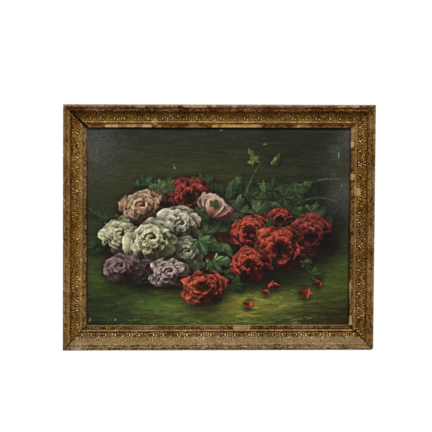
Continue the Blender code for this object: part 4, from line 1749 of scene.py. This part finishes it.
    def fallen(self) -> None:
        """Loose petals on the bank."""
        petals = ((0.66, 0.165, 0.3, Palette.CRIMSON), (0.735, 0.195, 2.8, Palette.CRIMSON),
                  (0.80, 0.17, -0.2, Palette.SCARLET), (0.855, 0.205, 0.5, Palette.WINE),
                  (0.59, 0.115, -0.4, Palette.CRIMSON))
        for across, up, angle, palette in petals:
            self.botanist.petal(*self.at(across, up), 0.027 * self.easel.chance(0.8, 1.2), 0.75, angle,
                                palette.colours, 0.7, squash=0.6, cast=0.6)

    def crispen(self) -> None:
        """Strengthens the small lights and darks, as a loaded brush leaves them."""
        easel, reach, amount = self.easel, 0.003, 0.9
        rows, columns = averaging(easel.zs, reach), averaging(easel.xs, reach)
        soft = np.einsum("ij,jkc,lk->ilc", rows, easel.colour, columns, optimize=True)
        easel.colour += amount * (easel.colour - soft)
        np.clip(easel.colour, 0.0, 1.0, out=easel.colour)

    def age(self) -> None:
        """Darkening along the top and both sides, partly dirt and partly painted shadow of the sight
        edge, and flecks where the paint has come away.
        """
        easel = self.easel
        across, up = np.meshgrid(self.width / 2 - np.abs(easel.xs), self.height / 2 - easel.zs)
        # Partly dirt, partly painted shadow of the sight edge: darker near the top and both sides, not the
        # bottom.
        easel.colour *= (1 - 0.75 * rise(0.0085, 0.0035, np.minimum(across, up)))[..., None]
        flecks = (
            (0.335, 0.795, 0.007, 0.0026, 0.3), (0.331, 0.805, 0.006, 0.0024, 1.5),
            (0.508, 0.985, 0.007, 0.0030, 0.1), (0.672, 0.915, 0.010, 0.0024, -0.2),
            (0.950, 0.860, 0.018, 0.0030, 1.55), (0.962, 0.705, 0.009, 0.0026, 1.5),
            (0.115, 0.030, 0.006, 0.0026, 0.4), (0.790, 0.016, 0.012, 0.0022, 0.0),
            (0.020, 0.030, 0.010, 0.0026, 1.2),
        )
        for column, row, length, width, angle in flecks:
            easel.dab(*self.at(column, row), length, width, angle, tint(190, 188, 160), 0.8, streak=0.2)

    def soften(self) -> None:
        """Small touches that break the edges and bring the picture together."""
        easel = self.easel
        chance = easel.chance
        for _ in range(self.touches):
            x, z = self.at(easel.rng.random(), easel.rng.random())
            easel.dab(x, z, 0.009 * chance(0.6, 1.4), 0.0030 * chance(0.6, 1.4), chance(0, pi),
                      easel.sample(x, z) * chance(0.9, 1.1), 0.4, streak=0.10)


# ---- canvas and stretcher -------------------------------------------------------------------


@dataclass
class Canvas:
    """Linen drawn over the stretcher with its edges turned back, and the picture on its front."""

    columns: int = 344
    rows: int = 258
    thickness: float = 0.001
    fold: float = 0.0009
    hem: float = 0.0004
    sag: float = 0.00035
    finish: OilPaint = OilPaint()
    linen: Linen = Linen()

    def rings(self, depth: float) -> list[tuple[float, float]]:
        """How the sheet runs on from its front's rim: round the fold, over the hem and back inside.

        Args:
            depth: how far its edges run back.

        Returns:
            For each ring, how far in from the outer edge and how far back it lies.
        """
        turn = [(self.fold * (1 - sin(a)), self.fold * (1 - cos(a))) for a in np.radians((45, 90))]
        rolled = [(0.0, depth - self.hem), (self.thickness / 2, depth), (self.thickness, depth - self.hem),
                  (self.thickness, self.thickness)]
        return turn + rolled

    def sheet(self) -> tuple[Mesh, Array]:
        """Models the turned sheet, its front divided finely.

        Returns:
            The mesh, and its points' flat places from -1 to 1 in each direction.
        """
        low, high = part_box("canvas")
        rings = self.rings(high.y - low.y)
        shape = bmesh.new()
        bmesh.ops.create_grid(shape, x_segments=self.columns, y_segments=self.rows, size=1.0)
        front = set(shape.faces)
        rim = [edge for edge in shape.edges if edge.is_boundary]
        for _ring in rings:
            turned = bmesh.ops.extrude_edge_only(shape, edges=rim)["geom"]
            moved = [item for item in turned if isinstance(item, bmesh.types.BMVert)]
            bmesh.ops.translate(shape, verts=moved, vec=(0, 0, -1))
            rim = [edge for edge in shape.edges if edge.is_boundary]
        bmesh.ops.holes_fill(shape, edges=rim, sides=0)
        for face in shape.faces:
            face.smooth = True
            face.material_index = 0 if face in front else 1
        mesh = to_mesh(shape, "painted canvas")
        flat = points_of(mesh)
        ring = np.rint(-flat[:, 2]).astype(int)
        inset, back = np.array([(self.fold, 0.0), *rings])[ring].T
        half, middle = (high - low) / 2, (high + low) / 2
        x, z = flat[:, 0], flat[:, 1]
        slack = self.sag * (1 - x**2) * (1 - z**2) * (ring == 0)
        slack = slack * (0.6 + 0.8 * Mottle(9).at(x + 2, z + 2, 0.5))
        put_points(mesh, np.stack([middle.x + x * (half.x - inset), low.y + back + slack,
                                   middle.z + z * (half.z - inset)], axis=1))
        return mesh, flat[:, :2]

    def paint(self, mesh: Mesh, flat: Array) -> None:
        """Lays the picture on the front, and its varnish's grey: partly bloom, partly painted sheen.

        Args:
            mesh: the canvas.
            flat: its points' places from -1 to 1 in each direction.
        """
        low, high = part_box("canvas")
        width, height = high.x - low.x - 2 * self.fold, high.z - low.z - 2 * self.fold
        xs, zs = (np.linspace(-0.5, 0.5, count + 1) for count in (self.columns, self.rows))
        easel = Easel(xs * width, zs * height)
        FlowerPiece(easel, width, height).paint()
        column, row = np.rint((flat + 1) / 2 * (self.columns, self.rows)).astype(int).T
        opaque = np.ones((*easel.body.shape, 1))
        store(mesh, "paint", np.concatenate([as_light(easel.colour), opaque], axis=2)[row, column])
        store(mesh, "touch", easel.body[row, column])
        x, z = flat[:, 0], flat[:, 1]
        # Where the varnish greys, at the upper left and right and along the top: partly bloom, partly painted
        # sheen.
        mist = Mottle(31).rich(x + 3, z + 3, 0.35, 4)
        left = rise(-0.55, -0.98, x) * rise(0.2, 0.8, z)
        right = rise(0.60, 0.95, x) * rise(0.0, 0.6, z)
        top = 0.12 * rise(0.78, 1.0, z)
        bloom_and_sheen_reach = np.maximum.reduce([0.42 * left, 0.80 * right, 0.5 * top])
        store(mesh, "bloom_and_sheen", bloom_and_sheen_reach * rise(0.25, 0.75, mist))

    def build(self, effects: Effects, bars: list[Object]) -> Object:
        """Makes the painted canvas in the CAD canvas's place.

        Args:
            effects: the shared node groups.
            bars: the stretcher's bars; not used.

        Returns:
            The canvas.
        """
        mesh, flat = self.sheet()
        self.paint(mesh, flat)
        mesh.set_sharp_from_angle(angle=radians(50))
        canvas = add_piece("painted_canvas", mesh, [self.finish.make(effects), self.linen.make(effects)])
        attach(canvas, "root")
        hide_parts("canvas")
        logging.info("%s: %d faces", canvas.name, len(mesh.polygons))
        return canvas


@dataclass
class Bar(MitredLength):
    """One bar of the stretcher, whose front slopes away from the canvas."""

    fall: float = 0.002
    joint: float = 0.0003
    arris: float = 0.0007

    def build(self, low: Vector, high: Vector, around: tuple[Vector, Vector]) -> Mesh:
        """Models the bar.

        Args:
            low, high: the corners of the space it fills.
            around: the corners of the whole stretcher.

        Returns:
            The finished mesh.
        """
        width = (high.z - low.z, high.x - low.x)[self.side % 2]
        front, back, half = low.y, high.y, self.length / 2
        section = ((0.0, back), (0.0, front), (width, front + self.fall), (width, back))
        shape = bmesh.new()
        near, far = ([shape.verts.new((end * half, y, -inward)) for inward, y in section] for end in (-1, 1))
        shape.faces.new(near)
        shape.faces.new(far[::-1])
        for k in range(len(near)):
            shape.faces.new((near[k - 1], near[k], far[k], far[k - 1]))
        for end in (-1, 1):
            meet = half - self.joint / sqrt(2)
            self.saw(shape, Vector((end * meet, 0, 0)), Vector((end * (meet - 0.1), 0, -0.1)), end)
        bmesh.ops.recalc_face_normals(shape, faces=shape.faces)
        bmesh.ops.bevel(shape, geom=shape.edges[:], offset=self.arris, segments=2, profile=0.5,
                        affect="EDGES", material=-1)
        for face in shape.faces:
            face.material_index = 0
            face.smooth = True
        mesh = to_mesh(shape, self.name)
        places = points_of(mesh)
        store(mesh, "timber", places[:, (0, 2, 1)] + np.array((0.37 * self.side, 0.11 * self.side, 0.0)))
        mesh.set_sharp_from_angle(angle=radians(32))
        self.place(mesh, *around)
        return mesh


@dataclass
class Stretcher:
    """The four mitred bars that hold the canvas flat."""

    timber: Timber = Timber("stretcher timber", srgb(178, 140, 90), srgb(128, 88, 48), 0.4)

    def build(self, effects: Effects) -> list[Object]:
        """Makes the bars in the places of the CAD ones.

        Args:
            effects: the shared node groups.

        Returns:
            The four pieces.
        """
        finish, pieces = self.timber.make(effects), []
        nodes = [f"stretcher_{side}" for side in ("top", "right", "bottom", "left")]
        boxes = [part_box(node) for node in nodes]
        around = (Vector(min(box[0][axis] for box in boxes) for axis in range(3)),
                  Vector(max(box[1][axis] for box in boxes) for axis in range(3)))
        for side, (node, (low, high)) in enumerate(zip(nodes, boxes)):
            length = (high.x - low.x, high.z - low.z)[side % 2]
            bar = Bar(f"{node}_bar", side, length)
            piece = add_piece(bar.name, bar.build(low, high, around), [finish])
            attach(piece, "root")
            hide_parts(node)
            logging.info("%s: %d faces", piece.name, len(piece.data.polygons))
            pieces.append(piece)
        return pieces


# ---- studio ---------------------------------------------------------------------------------


@dataclass(frozen=True)
class Studio:
    """The floor, the lights, the surroundings and the camera."""

    azimuth: float = radians(-3.54)
    elevation: float = radians(5.8)
    roll: float = radians(0.36)
    distance: float = 7.0
    lens: float = 256.0
    aside: float = -0.0064
    above: float = 0.0253
    floor_below: float = 1.15

    def build_floor(self) -> None:
        """A pale round floor well below the picture."""
        shape = bmesh.new()
        bmesh.ops.create_circle(shape, cap_ends=True, cap_tris=False, segments=96, radius=2.2)
        bmesh.ops.translate(shape, verts=shape.verts, vec=(0, 0, CAD_BOX[0].z - self.floor_below))
        mesh = to_mesh(shape, "floor")
        material, sh, shader = new_material("pale floor")
        sh.fill(shader, {"Base Color": srgb(226, 224, 220), "Roughness": 0.9})
        add_piece("floor", mesh, [material])

    def build_surroundings(self) -> None:
        """White to the camera, and a soft sky that is darker below to everything else."""
        world = bpy.data.worlds.new("studio")
        bpy.context.scene.world = world
        world.use_nodes = True
        sh = Shading(world.node_tree)
        height = sh.node("SeparateXYZ", {0: sh.node("TexCoord").outputs["Generated"]}).outputs["Z"]
        tone = sh.blend(sh.span(height, -0.4, 0.8), (0.06, 0.055, 0.05, 1.0), (0.75, 0.76, 0.78, 1.0))
        background = world.node_tree.nodes["Background"]
        sh.fill(background, {"Color": tone, "Strength": 0.35})
        white = sh.node("Background", {"Color": (1.0, 1.0, 1.0, 1.0), "Strength": 1.0})
        seen = sh.node("LightPath").outputs["Is Camera Ray"]
        mixed = sh.node("MixShader", {0: seen, 1: background.outputs[0], 2: white.outputs[0]})
        sh.fill(world.node_tree.nodes["World Output"], {"Surface": mixed.outputs[0]})

    def add_light(self, name: str, place: Place, size: float, power: float,
                  colour: Place = (1, 1, 1)) -> None:
        """A square soft light that faces the picture's middle.

        Args:
            name: the light's name.
            place: where it hangs, from the picture's middle.
            size: its side.
            power: its power in watts.
            colour: its colour.
        """
        middle = (CAD_BOX[0] + CAD_BOX[1]) / 2
        lamp = bpy.data.lights.new(name, "AREA")
        lamp.shape = "SQUARE"
        lamp.size = size
        lamp.energy = power
        lamp.color = colour
        light = bpy.data.objects.new(name, lamp)
        light.location = middle + Vector(place)
        light.rotation_euler = (-Vector(place)).to_track_quat("-Z", "Y").to_euler()
        bpy.context.scene.collection.objects.link(light)

    def build_lights(self) -> None:
        """A broad key from above and in front, a weak fill, and a soft light for the back."""
        self.add_light("key", (-0.2, -4.7, 4.3), 2.3, 430.0, (1.0, 0.98, 0.95))
        self.add_light("fill", (1.4, -3.2, 0.4), 2.2, 10.0, (0.96, 0.98, 1.0))
        self.add_light("back light", (-0.8, 4.4, 2.4), 2.4, 120.0)

    def build_camera(self) -> None:
        """A long lens, a little to the left of the picture and above it."""
        low, high = CAD_BOX
        middle = Vector(((low.x + high.x) / 2, -0.03, (low.z + high.z) / 2))
        level = cos(self.elevation)
        back = Vector((sin(self.azimuth) * level, -cos(self.azimuth) * level, sin(self.elevation)))
        right = Vector((0, 0, 1)).cross(back).normalized()
        up = back.cross(right)
        turn = Matrix((right, up, back)).transposed().to_4x4() @ Matrix.Rotation(self.roll, 4, "Z")
        place = middle + back * self.distance + right * self.aside + up * self.above
        lens = bpy.data.cameras.new("camera")
        lens.lens = self.lens
        lens.sensor_width = 36.0
        lens.clip_end = 40.0
        camera = bpy.data.objects.new("camera", lens)
        camera.matrix_world = Matrix.Translation(place) @ turn
        bpy.context.scene.collection.objects.link(camera)
        bpy.context.scene.camera = camera

    def build(self) -> None:
        """Sets up the whole studio."""
        self.build_camera()
        self.build_floor()
        self.build_surroundings()
        self.build_lights()
        bpy.context.scene.view_settings.view_transform = "Standard"


def main() -> None:
    """Dresses the picture and sets up its studio."""
    logging.basicConfig(level=logging.INFO, format="%(message)s")
    effects = Effects.build()
    Studio().build()
    Frame().build(effects)
    Canvas().build(effects, Stretcher().build(effects))


if __name__ == "__main__":
    main()
